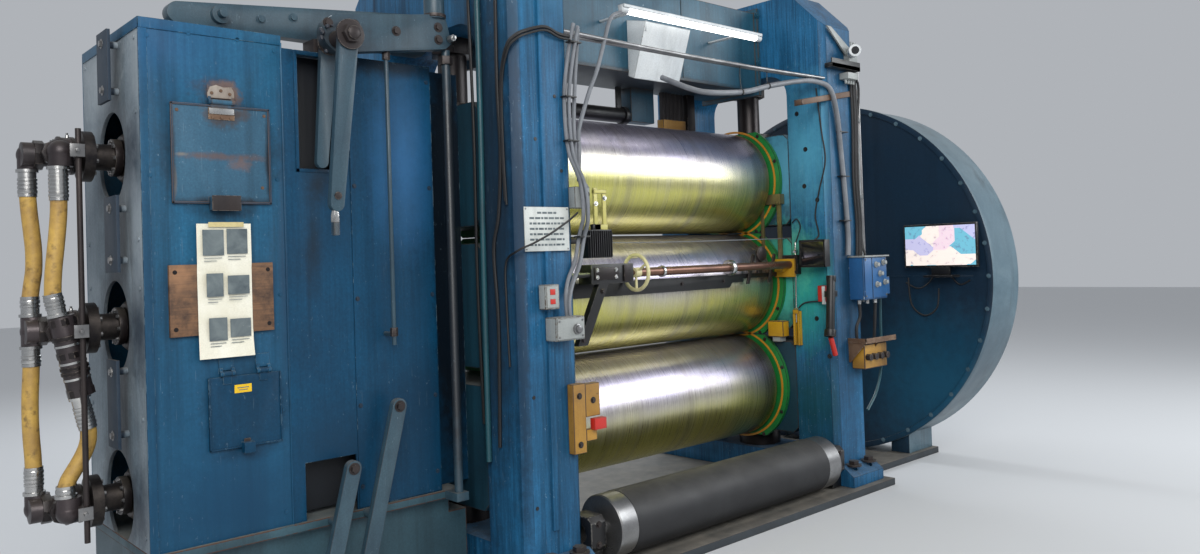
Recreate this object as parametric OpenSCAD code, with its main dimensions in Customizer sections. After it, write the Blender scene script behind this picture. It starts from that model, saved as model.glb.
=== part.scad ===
// Three-roll calender stand: three heavy rolls stacked upright between two
// cast housings, a gear casing on the left and a round gear guard on the right.
// X runs along the rolls, Y runs from front to back, Z points up.
// The origin is on the floor, midway between the housings, under the roll axes.

/* [Rolls] */
// Diameter of each roll face
roll_d = 711; // [600:1:715]
// Length of each roll face
roll_face = 2134; // [1800:1:2180]
// Gap between neighbouring rolls
nip_gap = 8; // [6:1:20]
// Height of the middle roll axis above the floor
mid_axis_z = 1390; // [1380:1:1420]
// Diameter of the journals in the bearing boxes
journal_d = 400; // [320:1:420]
// Diameter of the shaft that runs on through the gear casing
tail_d = 230; // [160:1:260]
// Diameter of the stub between the casing and the flange on each roll end
stub_d = 112; // [90:1:140]
// Width of the bevel at each end of a roll face
roll_bevel = 14; // [4:1:25]

/* [Connecting gears] */
// Number of teeth on each connecting gear
gear_teeth = 24; // [20:2:30]
// Width of the gear rims
gear_w = 200; // [120:1:260]
// Play between the flanks of meshing teeth along the pitch circle
gear_play = 13; // [11:0.5:16]
// Pressure angle of the teeth
gear_angle = 20; // [18:1:24]

/* [Housings] */
// Clear distance between the inner faces of the housings
housing_gap = 2240; // [2220:1:2320]
// Thickness of a housing along the rolls
housing_t = 360; // [300:1:400]
// Depth of a housing from front to back
housing_depth = 1582; // [1500:1:1640]
// Depth of each housing leg
leg_depth = 311; // [260:1:320]
// Height of the housings
housing_h = 3380; // [3320:1:3500]
// Clearance between the top roll and the cross beam
beam_gap = 285.5; // [250:0.5:330]
// Distance from the top of the beam to the top of the housings
beam_top_drop = 70; // [40:1:120]
// Chamfer on the upright corners of the housings
leg_chamfer = 38; // [15:1:60]
// Height of the window sill above the floor
sill_z = 215; // [190:1:225]
// Height of the crown of the window
window_top_z = 2840; // [2800:1:2900]
// Thickness of the flanged feet
foot_t = 70; // [50:1:90]
// Distance that the feet reach past the legs
foot_reach = 110; // [80:1:160]
// Thickness of the sole plate
bed_t = 45; // [30:1:60]

/* [Bearings] */
// Height of a bearing box
box_h = 630; // [600:1:660]
// Diameter of the covers on the bearing boxes
cover_d = 560; // [500:1:600]
// Thickness of a bearing cover
cover_t = 45; // [30:1:60]
// Diameter of the adjusting screws
screw_d = 160; // [120:1:200]

/* [Gear casing] */
// Width of the gear casing
casing_w = 581; // [540:1:640]
// Depth of the gear casing
casing_depth = 854; // [840:1:900]
// Distance from the roll axes forward to the front of the casing
casing_front_y = 404; // [398:1:420]
// Height of the plinth under the casing
plinth_h = 500; // [460:1:520]
// Height of the top of the casing above the floor
casing_top_z = 2626; // [2600:1:2660]
// Distance between the casing and the near housing
casing_run = 980; // [900:1:1040]
// Thickness of the casing plates
plate_t = 14; // [10:1:20]
// Diameter of the holes round the roll ends
side_hole_d = 385; // [340:1:420]

/* [Hatches] */
// Width of the upper hatch
upper_hatch_w = 408; // [340:1:430]
// Height of the upper hatch
upper_hatch_h = 410; // [340:1:430]
// Width of the lower hatch
lower_hatch_w = 306; // [260:1:340]
// Height of the lower hatch
lower_hatch_h = 300; // [260:1:330]
// Thickness of the hatch plates
hatch_t = 8; // [5:1:12]
// Overlap of a hatch round its opening
hatch_lap = 24; // [16:1:32]

/* [Link guard] */
// Width of the link guard panel
guard_w = 757; // [720:1:780]
// Depth of the edges of the link guard
guard_lip = 110; // [60:1:140]
// Thickness of the link guard plate
guard_t = 10; // [6:1:14]

/* [Levers] */
// Thickness of the lever arms
lever_t = 62; // [40:1:80]
// Diameter of the lever shaft
lever_shaft_d = 76; // [60:1:90]
// Width of the long hanging link
link_w = 90; // [70:1:110]

/* [Rotary unions] */
// Diameter of the flanges on the roll ends
flange_d = 212; // [180:1:240]
// Thickness of those flanges
flange_t = 42; // [30:1:60]
// Diameter of the union bodies
union_d = 150; // [120:1:170]
// Outside diameter of the hoses
hose_d = 62; // [48:1:70]

/* [Gear guard] */
// Radius of the gear guard
guard_r = 1355; // [1250:1:1370]
// Width of the gear guard
drum_w = 427; // [380:1:480]
// Distance between the far housing and the gear guard
drum_gap = 760; // [700:1:820]
// Thickness of the gear guard sheets
drum_t = 12; // [8:1:16]

/* [Front fittings] */
// Diameter of the guide roller
guide_d = 330; // [260:1:350]
// Face length of the guide roller
guide_face = 1950; // [1800:1:2000]
// Diameter of the round knife bar
knife_d = 52; // [36:1:64]
// Rim diameter of the handwheel
wheel_d = 225; // [180:1:260]
// Thickness of the handwheel rim
wheel_rim = 22; // [14:1:28]

/* [Hidden] */
round_fn = 96;
small_fn = 48;
seat = 0.3;
run_fit = 0.5;
clear = 6;

pitch = roll_d + nip_gap;
top_z = mid_axis_z + pitch;
low_z = mid_axis_z - pitch;
axes_z = [low_z, mid_axis_z, top_z];
inner_x = housing_gap / 2;
outer_x = inner_x + housing_t;
front_y = -housing_depth / 2;
window_y = housing_depth / 2 - leg_depth;
box_w = 2 * (window_y - seat);
box_out_x = outer_x + cover_t;

casing_right_x = -outer_x - casing_run;
casing_left_x = casing_right_x - casing_w;
panel_y = -casing_front_y;
casing_back_y = panel_y + casing_depth;
gear_x = (casing_left_x + casing_right_x) / 2;
stub_l = 84;
flange_x = casing_left_x - stub_l;
union_x = flange_x - flange_t;
union_len = 120;

drum_x = outer_x + drum_gap;
drum_far_x = drum_x + drum_w;
guard_rim_r = guard_r + drum_t;
guard_foot_in = sqrt(pow(guard_rim_r, 2) - pow(mid_axis_z - bed_t - clear, 2)) + 2 * foot_reach;
guard_foot_out = guard_foot_in + 150;

beam_z = top_z + roll_d / 2 + beam_gap;
beam_h = housing_h - beam_top_drop - beam_z;
beam_d = 480;

shaft_z = 2620;
shaft_x = casing_right_x + 210;
shaft_front_y = -662;
guard_top = 2580;

// A box from its lowest corner to its highest corner
module block(lo, hi) {
    translate(lo) cube(hi - lo);
}

// A round bar along X
module bar_x(d, x0, x1, y, z, fn = small_fn) {
    translate([x0, y, z]) rotate([0, 90, 0]) cylinder(d = d, h = x1 - x0, $fn = fn);
}

// A round bar along Y
module bar_y(d, x, y0, y1, z, fn = small_fn) {
    translate([x, y1, z]) rotate([90, 0, 0]) cylinder(d = d, h = y1 - y0, $fn = fn);
}

// A round bar upright
module bar_z(d, x, y, z0, z1, fn = small_fn) {
    translate([x, y, z0]) cylinder(d = d, h = z1 - z0, $fn = fn);
}

// A turned piece about the X axis, from points of [x, radius]
module turned_x(points, y, z, fn = round_fn) {
    translate([0, y, z]) rotate([0, 90, 0]) rotate_extrude($fn = fn)
        polygon([for (p = points) [p[1], p[0]]]);
}

// A plate in the plane of Y and Z, from a list of [y, z], along X from x0 to x1
module plate_x(points, x0, x1) {
    translate([x0, 0, 0]) rotate([90, 0, 90]) linear_extrude(x1 - x0) polygon(points);
}

// A plate in the plane of X and Z, from a list of [x, z], along Y from y0 to y1
module plate_y(points, y0, y1) {
    translate([0, y1, 0]) rotate([90, 0, 0]) linear_extrude(y1 - y0) polygon(points);
}

// Points of a rectangle with chamfered corners
function chamfered(x0, y0, x1, y1, c) = [
    [x0 + c, y0], [x1 - c, y0], [x1, y0 + c], [x1, y1 - c],
    [x1 - c, y1], [x0 + c, y1], [x0, y1 - c], [x0, y0 + c]
];

// Points of an arc about [cx, cy]
function arc(cx, cy, r, a0, a1, n) = [
    for (i = [0:n]) [cx + r * cos(a0 + (a1 - a0) * i / n), cy + r * sin(a0 + (a1 - a0) * i / n)]
];

// Rolls

gear_pitch_r = pitch / 2;
gear_module = pitch / gear_teeth;
gear_tip_r = gear_pitch_r + 0.72 * gear_module;
gear_root_r = gear_pitch_r - 1.08 * gear_module;
gear_base_r = gear_pitch_r * cos(gear_angle);
gear_half_angle = (PI * gear_module / 2 - gear_play / 2) / gear_pitch_r / 2 * 180 / PI;

// Roll angle of the involute, in degrees, where it reaches a radius
function involute(r) = let (t = sqrt(max(0, pow(r / gear_base_r, 2) - 1))) t * 180 / PI - atan(t);
function flank_half(r) = gear_half_angle + involute(gear_pitch_r) - involute(max(r, gear_base_r));
flank_steps = 3;
flank_radii = [for (i = [0:flank_steps]) gear_base_r + (gear_tip_r - gear_base_r) * i / flank_steps];

// Points of one tooth centred on an angle
function tooth(a) = concat(
    [gear_root_r * [cos(a - flank_half(gear_base_r)), sin(a - flank_half(gear_base_r))]],
    [for (r = flank_radii) r * [cos(a - flank_half(r)), sin(a - flank_half(r))]],
    [for (i = [flank_steps:-1:0]) let (r = flank_radii[i])
        r * [cos(a + flank_half(r)), sin(a + flank_half(r))]],
    [gear_root_r * [cos(a + flank_half(gear_base_r)), sin(a + flank_half(gear_base_r))]]
);

// A connecting gear on a roll tail, turned by a share of one tooth pitch
module connecting_gear(z, phase) {
    step = 360 / gear_teeth;
    translate([gear_x - gear_w / 2, 0, z]) rotate([90, 0, 90]) linear_extrude(gear_w)
        polygon([for (i = [0:gear_teeth - 1]) each tooth((i + phase) * step + 90)]);
}

// A roll with its bevelled face, journals and tail; drive_x is its right end
module roll(z, drive_x, phase) {
    face_x = roll_face / 2;
    shoulder_x = inner_x - clear;
    tail_end_x = casing_left_x + plate_t + 3 * clear;
    color("silver") {
        turned_x([
            [union_x, 0], [union_x, flange_d / 2], [flange_x, flange_d / 2],
            [flange_x, stub_d / 2], [tail_end_x, stub_d / 2], [tail_end_x, tail_d / 2 - 22],
            [tail_end_x + 16, tail_d / 2 - 6], [casing_right_x + 120, tail_d / 2 - 6],
            [casing_right_x + 130, tail_d / 2 + 20], [-box_out_x - 60, tail_d / 2 + 20],
            [-box_out_x - 40, journal_d / 2], [-shoulder_x, journal_d / 2],
            [-face_x - 10, journal_d / 2 + 40], [-face_x, journal_d / 2 + 60],
            [-face_x, roll_d / 2 - roll_bevel], [-face_x + roll_bevel, roll_d / 2],
            [face_x - roll_bevel, roll_d / 2], [face_x, roll_d / 2 - roll_bevel],
            [face_x, journal_d / 2 + 60], [face_x + 10, journal_d / 2 + 40],
            [shoulder_x, journal_d / 2], [box_out_x + 40, journal_d / 2],
            [box_out_x + 60, tail_d / 2 + 20], [drive_x, tail_d / 2 + 20], [drive_x, 0]
        ], 0, z);
        connecting_gear(z, phase);
    }
}

module top_roll() {
    roll(top_z, box_out_x + 130, 0);
}

module middle_roll() {
    roll(mid_axis_z, drum_x + drum_t + 90, 0.5);
}

module bottom_roll() {
    roll(low_z, box_out_x + 130, 0);
}

// Housings

// One housing: flanged feet, two legs, a window and a crowned top
module housing(x0) {
    half = housing_depth / 2;
    crown = 260;
    outline = concat(
        [[-half - foot_reach, bed_t], [half + foot_reach, bed_t],
         [half + foot_reach, bed_t + foot_t], [half + 30, bed_t + foot_t + 60], [half, bed_t + foot_t + 160]],
        [[half, housing_h - crown], [half - crown, housing_h], [-half + crown, housing_h],
         [-half, housing_h - crown]],
        [[-half, bed_t + foot_t + 160], [-half - 30, bed_t + foot_t + 60],
         [-half - foot_reach, bed_t + foot_t]]
    );
    window_r = 150;
    window = concat(
        [[-window_y, sill_z], [window_y, sill_z]],
        arc(window_y - window_r, window_top_z - window_r, window_r, 0, 90, 6),
        arc(-window_y + window_r, window_top_z - window_r, window_r, 90, 180, 6)
    );
    color([0.16, 0.36, 0.55]) difference() {
        intersection() {
            plate_x(outline, x0, x0 + housing_t);
            union() {
                linear_extrude(housing_h)
                    polygon(chamfered(x0, -half, x0 + housing_t, half, leg_chamfer));
                block([x0, -half - foot_reach, 0], [x0 + housing_t, half + foot_reach, bed_t + foot_t + 60]);
            }
        }
        plate_x(window, x0 - 1, x0 + housing_t + 1);
        for (y = [-half - foot_reach / 2, half + foot_reach / 2])
            for (x = [x0 + housing_t / 4, x0 + housing_t * 3 / 4])
                bar_z(anchor_d, x, y, 0, bed_t + foot_t + 60);
    }
}

anchor_d = 42;
anchor_dy = housing_depth + foot_reach;

bead_t = 12;

module near_housing() {
    housing(-outer_x);
    // Raised bead down the front of the near leg
    color([0.16, 0.36, 0.55])
        block([-outer_x + 150, front_y - bead_t, bed_t + foot_t + 180],
            [-outer_x + 186, front_y + 1, housing_h - 280]);
}

module far_housing() {
    housing(inner_x);
}

sole_lap = 60;

module bed_plate() {
    x1 = outer_x + sole_lap;
    y1 = housing_depth / 2 + foot_reach + 50;
    color([0.2, 0.24, 0.28]) difference() {
        union() {
            block([-x1, -y1, 0], [x1, y1, bed_t]);
            block([x1 - 1, -guard_foot_out - 40, 0], [drum_x - 10 - 3 * clear, guard_foot_out + 40, bed_t]);
            for (y = [-guard_foot_out - 40, guard_foot_in - 10])
                block([drum_x - 40, y, 0], [drum_far_x - 20, y + guard_foot_out - guard_foot_in + 50, bed_t]);
        }
        for (x = [-1, 1]) for (y = [-1, 1])
            for (dx = [housing_t / 4, housing_t * 3 / 4])
                bar_z(anchor_d, x * (inner_x + dx), y * anchor_dy / 2, -1, bed_t + 1);
    }
}

// The deep cross beam between the housings, a welded box with end flanges
module cross_beam() {
    flange = 24;
    lip = 30;
    color([0.15, 0.38, 0.48]) {
        block([-inner_x + flange, -beam_d / 2, beam_z], [inner_x - flange, beam_d / 2, beam_z + beam_h]);
        for (x = [-inner_x + seat, inner_x - flange])
            block([x, -beam_d / 2 - lip, beam_z - lip],
                [x + flange - seat, beam_d / 2 + lip, beam_z + beam_h + lip]);
    }
}

// Bearing boxes with their bores, chamfered corners and round covers
module bearing_boxes(x0, out) {
    cover_x = out > 0 ? x0 + housing_t : x0 - cover_t;
    color([0.17, 0.3, 0.4]) for (z = axes_z) difference() {
        union() {
            plate_x(chamfered(-box_w / 2, z - box_h / 2, box_w / 2, z + box_h / 2, 40), x0, x0 + housing_t);
            bar_x(cover_d, cover_x, cover_x + cover_t, 0, z, round_fn);
        }
        bar_x(journal_d + 2 * run_fit, x0 - cover_t - 1, x0 + housing_t + cover_t + 1, 0, z, round_fn);
    }
}

module near_bearing_boxes() {
    bearing_boxes(-outer_x, -1);
}

module far_bearing_boxes() {
    bearing_boxes(inner_x, 1);
}

// Screws between the window and the outer boxes, each with a thrust pad
module adjusting_screws() {
    pad_d = 300;
    pad_t = 50;
    top_seat = top_z + box_h / 2 + seat;
    low_seat = low_z - box_h / 2 - seat;
    color([0.45, 0.45, 0.43]) for (x = [-inner_x - housing_t / 2, inner_x + housing_t / 2]) {
        bar_z(screw_d, x, 0, top_seat + pad_t, window_top_z - seat);
        bar_z(pad_d, x, 0, top_seat, top_seat + pad_t);
        bar_z(screw_d + 90, x, 0, window_top_z - 90, window_top_z - seat, 6);
        bar_z(pad_d, x, 0, sill_z + seat, low_seat);
    }
}

// Gear casing

plinth_ledge = 15;
plinth_cap = 40;
plinth_right_x = -box_out_x - 75;

module casing_plinth() {
    color([0.2, 0.35, 0.42]) difference() {
        union() {
            block([casing_left_x + 10, panel_y + 40, 0],
                [plinth_right_x - 40, casing_back_y, plinth_h - plinth_cap]);
            block([casing_left_x, panel_y - plinth_ledge, plinth_h - plinth_cap],
                [plinth_right_x, casing_back_y, plinth_h]);
            block([plinth_right_x - 41, panel_y + 40, 0],
                [-outer_x - sole_lap - seat, casing_back_y, low_z - cover_d / 2 - 2 * clear]);
        }
        bar_x(2 * (gear_tip_r + 2 * clear), gear_x - gear_w / 2 - 30, gear_x + gear_w / 2 + 30,
            0, low_z, round_fn);
    }
}

// Fixed half of a hatch hinge: a leaf on the casing and two lugs round the pin
hinge_r = 11;
hinge_pin_d = 10;
hinge_off = 13.5;
hinge_up = 13;
lug_w = 12;

module hinge_fixed(x0, x1, hatch_top) {
    z = hatch_top + hinge_up;
    y = panel_y - hinge_off;
    block([x0, panel_y - 5, z + hinge_r + 3], [x1, panel_y, z + 70]);
    for (x = [x0, x1 - lug_w]) {
        bar_x(2 * hinge_r, x, x + lug_w, y, z);
        block([x, y, z], [x + lug_w, panel_y, z + hinge_r + 12]);
    }
    bar_x(hinge_pin_d, x0, x1, y, z);
}

// Moving half of a hatch hinge: the barrel and the strap to the hatch plate
module hinge_moving(x0, x1, hatch_top) {
    z = hatch_top + hinge_up;
    y = panel_y - hinge_off;
    difference() {
        union() {
            bar_x(2 * hinge_r, x0, x1, y, z);
            block([x0, y, hatch_top - 30], [x1, panel_y - seat, z - 1]);
        }
        bar_x(hinge_pin_d + 2 * run_fit, x0 - 1, x1 + 1, y, z);
    }
}

upper_hatch_x = casing_left_x + 110;
upper_hatch_z = 1890;
upper_hatch_top = upper_hatch_z + upper_hatch_h;
lower_hatch_x = casing_left_x + 233;
lower_hatch_z = 870;
lower_hatch_top = lower_hatch_z + lower_hatch_h;
upper_leaf = [upper_hatch_x + upper_hatch_w / 2 - 54, upper_hatch_x + upper_hatch_w / 2 + 54];
lower_leaves = [for (s = [0.25, 0.75]) lower_hatch_x + lower_hatch_w * s];
lower_leaf_w = 60;

module casing_front() {
    color([0.16, 0.38, 0.58]) {
        difference() {
            block([casing_left_x, panel_y, plinth_h], [casing_right_x, panel_y + plate_t, casing_top_z]);
            block([upper_hatch_x + hatch_lap, panel_y - 1, upper_hatch_z + hatch_lap],
                [upper_hatch_x + upper_hatch_w - hatch_lap, panel_y + plate_t + 1,
                    upper_hatch_top - hatch_lap]);
            block([lower_hatch_x + hatch_lap, panel_y - 1, lower_hatch_z + hatch_lap],
                [lower_hatch_x + lower_hatch_w - hatch_lap, panel_y + plate_t + 1,
                    lower_hatch_top - hatch_lap]);
        }
        hinge_fixed(upper_leaf[0], upper_leaf[1], upper_hatch_top);
        for (x = lower_leaves)
            hinge_fixed(x - lower_leaf_w / 2, x + lower_leaf_w / 2, lower_hatch_top);
    }
}

// Outer wall of the casing with its three round holes, and three plates that stand off it on studs
stand_off = 46;
side_plates = [
    [-190, -40, top_z + 215, casing_top_z - 8],
    [-265, -95, mid_axis_z + 228, mid_axis_z + 540],
    [-215, -80, low_z + 230, low_z + 590]
];

module casing_side() {
    color([0.62, 0.68, 0.7]) {
        difference() {
            block([casing_left_x, panel_y + plate_t, plinth_h],
                [casing_left_x + plate_t, casing_back_y - plate_t, casing_top_z - plate_t]);
            for (z = axes_z)
                bar_x(side_hole_d, casing_left_x - 1, casing_left_x + plate_t + 1, 0, z, round_fn);
        }
        for (p = side_plates) {
            block([casing_left_x - stand_off - plate_t, p[0], p[2]], [casing_left_x - stand_off, p[1], p[3]]);
            for (z = [p[2] + 50, p[3] - 50])
                bar_x(30, casing_left_x - stand_off - 1, casing_left_x + 1, (p[0] + p[1]) / 2, z);
        }
    }
}

module casing_inner_wall() {
    color([0.16, 0.38, 0.58]) difference() {
        block([casing_right_x - plate_t, panel_y + plate_t, plinth_h],
            [casing_right_x, casing_back_y - plate_t, casing_top_z - plate_t]);
        for (z = axes_z)
            bar_x(side_hole_d, casing_right_x - plate_t - 1, casing_right_x + 1, 0, z, round_fn);
    }
}

module casing_back() {
    color([0.16, 0.38, 0.58])
        block([casing_left_x, casing_back_y - plate_t, plinth_h],
            [casing_right_x, casing_back_y, casing_top_z]);
}

module casing_top() {
    color([0.16, 0.38, 0.58])
        block([casing_left_x, panel_y + plate_t, casing_top_z - plate_t],
            [casing_right_x, casing_back_y - plate_t, casing_top_z]);
}

// A top-hung hatch with a rim of folded edge and a handle block at the bottom
module hatch(x0, z0, w, h, handle_w, handle_h) {
    y1 = panel_y - seat;
    mid = x0 + w / 2;
    block([x0, y1 - hatch_t, z0], [x0 + w, y1, z0 + h]);
    block([mid - handle_w / 2, y1 - hatch_t - 34, z0 - handle_h / 2],
        [mid + handle_w / 2, y1 - hatch_t, z0 + handle_h / 2]);
}

module upper_hatch() {
    color([0.16, 0.38, 0.58]) {
        hatch(upper_hatch_x, upper_hatch_z, upper_hatch_w, upper_hatch_h, 118, 56);
        hinge_moving(upper_leaf[0] + lug_w + 1, upper_leaf[1] - lug_w - 1, upper_hatch_top);
    }
}

module lower_hatch() {
    color([0.16, 0.38, 0.58]) {
        hatch(lower_hatch_x, lower_hatch_z, lower_hatch_w, lower_hatch_h, 46, 44);
        for (x = lower_leaves)
            hinge_moving(x - lower_leaf_w / 2 + lug_w + 1, x + lower_leaf_w / 2 - lug_w - 1, lower_hatch_top);
    }
}

module wood_board() {
    color([0.55, 0.38, 0.22])
        block([casing_left_x + 88, panel_y - 18, 1350], [casing_left_x + 513, panel_y, 1640]);
}

// Link guard

slot_x = casing_right_x + 72;
slot_w = 164;
slot_z = 2052;
slot_top = 2560;
port_x = casing_right_x + 62;
port_w = 244;
port_top = 752;

module link_guard() {
    x0 = casing_right_x;
    x1 = casing_right_x + guard_w;
    top = guard_top;
    color([0.17, 0.4, 0.6]) difference() {
        union() {
            block([x0, panel_y, plinth_h], [x1, panel_y + guard_t, top]);
            for (x = [x0, x1 - guard_t])
                block([x, panel_y, plinth_h], [x + guard_t, panel_y + guard_lip, top]);
            block([x0, panel_y, top - guard_t], [x1, panel_y + guard_lip, top]);
            block([x1 - guard_t, panel_y + guard_lip - guard_t, plinth_h],
                [-outer_x - seat, panel_y + guard_lip, top]);
        }
        block([slot_x, panel_y - 1, slot_z], [slot_x + slot_w, panel_y + guard_t + 1, slot_top]);
        block([port_x, panel_y - 1, plinth_h - 1], [port_x + port_w, panel_y + guard_t + 1, port_top]);
    }
}

// Levers and links

// A lever arm: a long plate with one rounded end and a deeper root
module lever_arm(x0, z0, r0, x1, z1, h1, y0, y1) {
    plate_y(concat(arc(x0, z0, r0, 100, 262, 10), [[x1, z1 - h1 / 2], [x1 + 34, z1 - h1 / 2 + 30],
        [x1, z1 + h1 / 2]]), y0, y1);
}

lever_y = -520;
rear_lever_y = -300;
lever_root_x = -1680;
lever_root_z = 2735;
lever_root_h = 170;
lever_head_d = 100;
lever_head_z = 2890;
lever_tip_z = shaft_z + 30;
lever_tip_r = 86;
rear_pivot_x = casing_left_x + 360;
rear_pivot_z = 2712;
rear_lever_tip = [casing_left_x + 190, casing_top_z + 74];
rear_lever_tip_r = 46;
rear_lever_root_z = casing_top_z + 134;
rear_lever_root_h = 210;

// Height of the lower edge of the front lever arm at x
function lever_low_z(x) = let (
    x0 = shaft_x + 20 + lever_tip_r * cos(262),
    z0 = lever_tip_z + lever_tip_r * sin(262),
    z1 = lever_root_z - lever_root_h / 2
) z0 + (z1 - z0) * (x - x0) / (lever_root_x - x0);

module front_lever_arm() {
    color([0.24, 0.36, 0.42]) {
        difference() {
            lever_arm(shaft_x + 20, lever_tip_z, lever_tip_r, lever_root_x, lever_root_z, lever_root_h,
                lever_y, lever_y + lever_t);
            bar_y(lever_shaft_d + 2 * seat, shaft_x, lever_y - 1, lever_y + lever_t + 1, shaft_z);
        }
        bar_z(lever_head_d, lever_root_x - 40, lever_y + lever_t / 2, lever_root_z + 60, lever_head_z);
    }
}

module rear_lever_arm() {
    color([0.24, 0.36, 0.42]) {
        lever_arm(rear_lever_tip[0], rear_lever_tip[1], rear_lever_tip_r, lever_root_x, rear_lever_root_z,
            rear_lever_root_h, rear_lever_y, rear_lever_y + lever_t);
        bar_y(80, rear_pivot_x, rear_lever_y - 26, rear_lever_y + 1, rear_pivot_z);
        bar_y(40, rear_pivot_x, rear_lever_y - 60, rear_lever_y + 1, rear_pivot_z);
        block([rear_pivot_x - 50, rear_lever_y + lever_t - 1, casing_top_z + seat],
            [rear_pivot_x + 50, rear_lever_y + lever_t + 60, rear_pivot_z + 40]);
    }
}

module lever_shaft() {
    color([0.2, 0.22, 0.24]) {
        bar_y(lever_shaft_d, shaft_x, shaft_front_y + 20, rear_lever_y - clear, shaft_z);
        bar_y(lever_shaft_d + 34, shaft_x, lever_y + lever_t + seat, rear_link_y - seat, shaft_z);
        bar_y(lever_shaft_d + 10, shaft_x, shaft_front_y - 14, shaft_front_y + 20, shaft_z, 6);
        block([shaft_x - 55, panel_y, guard_top + seat], [shaft_x + 55, panel_y + guard_lip, shaft_z + 20]);
    }
}

// A flat link with round ends and an eye, hanging in the plane of X and Z
module flat_link(top_pt, end_pt, w, y0, y1, eye_d) {
    slope = atan2(end_pt[1] - top_pt[1], end_pt[0] - top_pt[0]);
    difference() {
        plate_y(concat(
            arc(top_pt[0], top_pt[1], w / 2, slope + 90, slope + 270, 10),
            arc(end_pt[0], end_pt[1], w * 0.35, slope - 90, slope + 90, 10)
        ), y0, y1);
        bar_y(eye_d, top_pt[0], y0 - 1, y1 + 1, top_pt[1]);
    }
}

// A flat bar with round ends in the plane of X and Z
module flat_bar(top_pt, end_pt, w, y0, y1) {
    slope = atan2(end_pt[1] - top_pt[1], end_pt[0] - top_pt[0]);
    plate_y(concat(
        arc(top_pt[0], top_pt[1], w / 2, slope + 90, slope + 270, 10),
        arc(end_pt[0], end_pt[1], w / 2, slope - 90, slope + 90, 10)
    ), y0, y1);
}

long_link = 740;
short_link = 540;
long_link_t = 32;
short_link_t = 28;
long_end = [shaft_x - 78, shaft_z - long_link];
short_end = [shaft_x - 48, shaft_z - short_link];
thin_rod_x = shaft_x + 260;
thin_rod_d = 20;
stout_rod_x = -1662;
stout_rod_d = 42;
thin_rod_z = 1240;
rod_line_y = lever_y + lever_t / 2;
link_step = 120;
front_link_y = lever_y - link_step;
rear_link_y = panel_y - 44;

module lever_links() {
    eye = lever_shaft_d + 2 * seat;
    color([0.24, 0.36, 0.42]) {
        flat_link([shaft_x, shaft_z], long_end, link_w, front_link_y, front_link_y + long_link_t, eye);
        flat_link([shaft_x, shaft_z], short_end, link_w * 0.86, rear_link_y, rear_link_y + short_link_t, eye);
    }
    color([0.45, 0.4, 0.33]) {
        bar_z(thin_rod_d, thin_rod_x, rod_line_y, thin_rod_z,
            lever_low_z(thin_rod_x - thin_rod_d / 2) - seat);
        bar_z(stout_rod_d, stout_rod_x, rod_line_y, plinth_h - 30,
            lever_low_z(stout_rod_x - stout_rod_d / 2) - seat);
        block([stout_rod_x - 34, rod_line_y - 34, plinth_h - plinth_cap],
            [stout_rod_x + 34, panel_y - plinth_ledge - seat, plinth_h - seat]);
        bar_y(thin_rod_d, thin_rod_x, rod_line_y, panel_y - seat, thin_rod_z + 50);
        bar_z(26, long_end[0] - 6, front_link_y + long_link_t / 2, long_end[1] - 135, long_end[1] - 10);
    }
}

lower_bar_w = 72;
lower_bar_end_z = 95;
lower_bars = [
    [[casing_right_x + 234, plinth_h + 215], [casing_right_x + 72, lower_bar_end_z]],
    [[casing_right_x + 470, plinth_h + 460], [casing_right_x + 246, lower_bar_end_z]]
];

module lower_links() {
    y0 = panel_y - 118;
    y1 = y0 + 32;
    pin_z = plinth_h - 20;
    color([0.2, 0.3, 0.36]) for (bar = lower_bars) {
        top_pt = bar[0];
        end_pt = bar[1];
        share = (pin_z - end_pt[1]) / (top_pt[1] - end_pt[1]);
        flat_bar(top_pt, end_pt, lower_bar_w, y0, y1);
        bar_y(44, end_pt[0] + (top_pt[0] - end_pt[0]) * share, y1 - 1, panel_y - plinth_ledge - seat, pin_z);
    }
}

// Rotary unions

rod_d = 22;
branch_x = union_x - 95;
branch_y = -125;
rod_x = branch_x + 48;
rod_y = branch_y - 70;
branch_d = 84;
elbow_d = 96;
rear_x = union_x - union_len - 52;
rear_y = 40;
crimp_d = hose_d + 12;

// A round bar between two points
module rod_between(p, q, d, fn = small_fn) {
    v = q - p;
    translate(p) rotate([0, acos(v[2] / norm(v)), atan2(v[1], v[0])])
        cylinder(d = d, h = norm(v), $fn = fn);
}

// A rotary union: stepped body, lug for the upright rod and a branch towards the front
module rotary_union(z) {
    color([0.26, 0.22, 0.2]) difference() {
        union() {
            turned_x([
                [union_x - union_len, 0], [union_x - union_len, union_d / 2 - 34],
                [union_x - 100, union_d / 2 - 26], [union_x - 84, union_d / 2], [union_x - 22, union_d / 2],
                [union_x - seat, union_d / 2 - 20], [union_x - seat, 0]
            ], 0, z, small_fn);
            bar_x(96, union_x - union_len - 90, union_x - union_len + 1, 0, z);
            bar_y(branch_d, branch_x, branch_y, -20, z);
            block([rod_x - 22, rod_y - 24, z - 22], [rod_x + 16, -56, z + 22]);
            children();
        }
        bar_z(rod_d + 2 * seat, rod_x, rod_y, z - 23, z + 23);
    }
}

// An elbow with its mouth up or down; dir is 1 or -1
module elbow(x, y, z, dir) {
    translate([x, y, z]) sphere(d = elbow_d, $fn = small_fn);
    rod_between([x, y, z], [x, y, z + dir * 58], elbow_d - 6);
}

tee_top = [branch_x - 12, branch_y, mid_axis_z + 60];
tee_low = [branch_x + 56, branch_y, mid_axis_z - 262];

module top_union() {
    rotary_union(top_z) {
        elbow(branch_x, branch_y, top_z, -1);
        elbow(rear_x, rear_y, top_z, -1);
    }
}

module middle_union() {
    rotary_union(mid_axis_z) {
        rod_between(tee_top, tee_low, elbow_d);
        elbow(rear_x, rear_y, mid_axis_z, 1);
        elbow(rear_x, rear_y, mid_axis_z, -1);
    }
}

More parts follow.
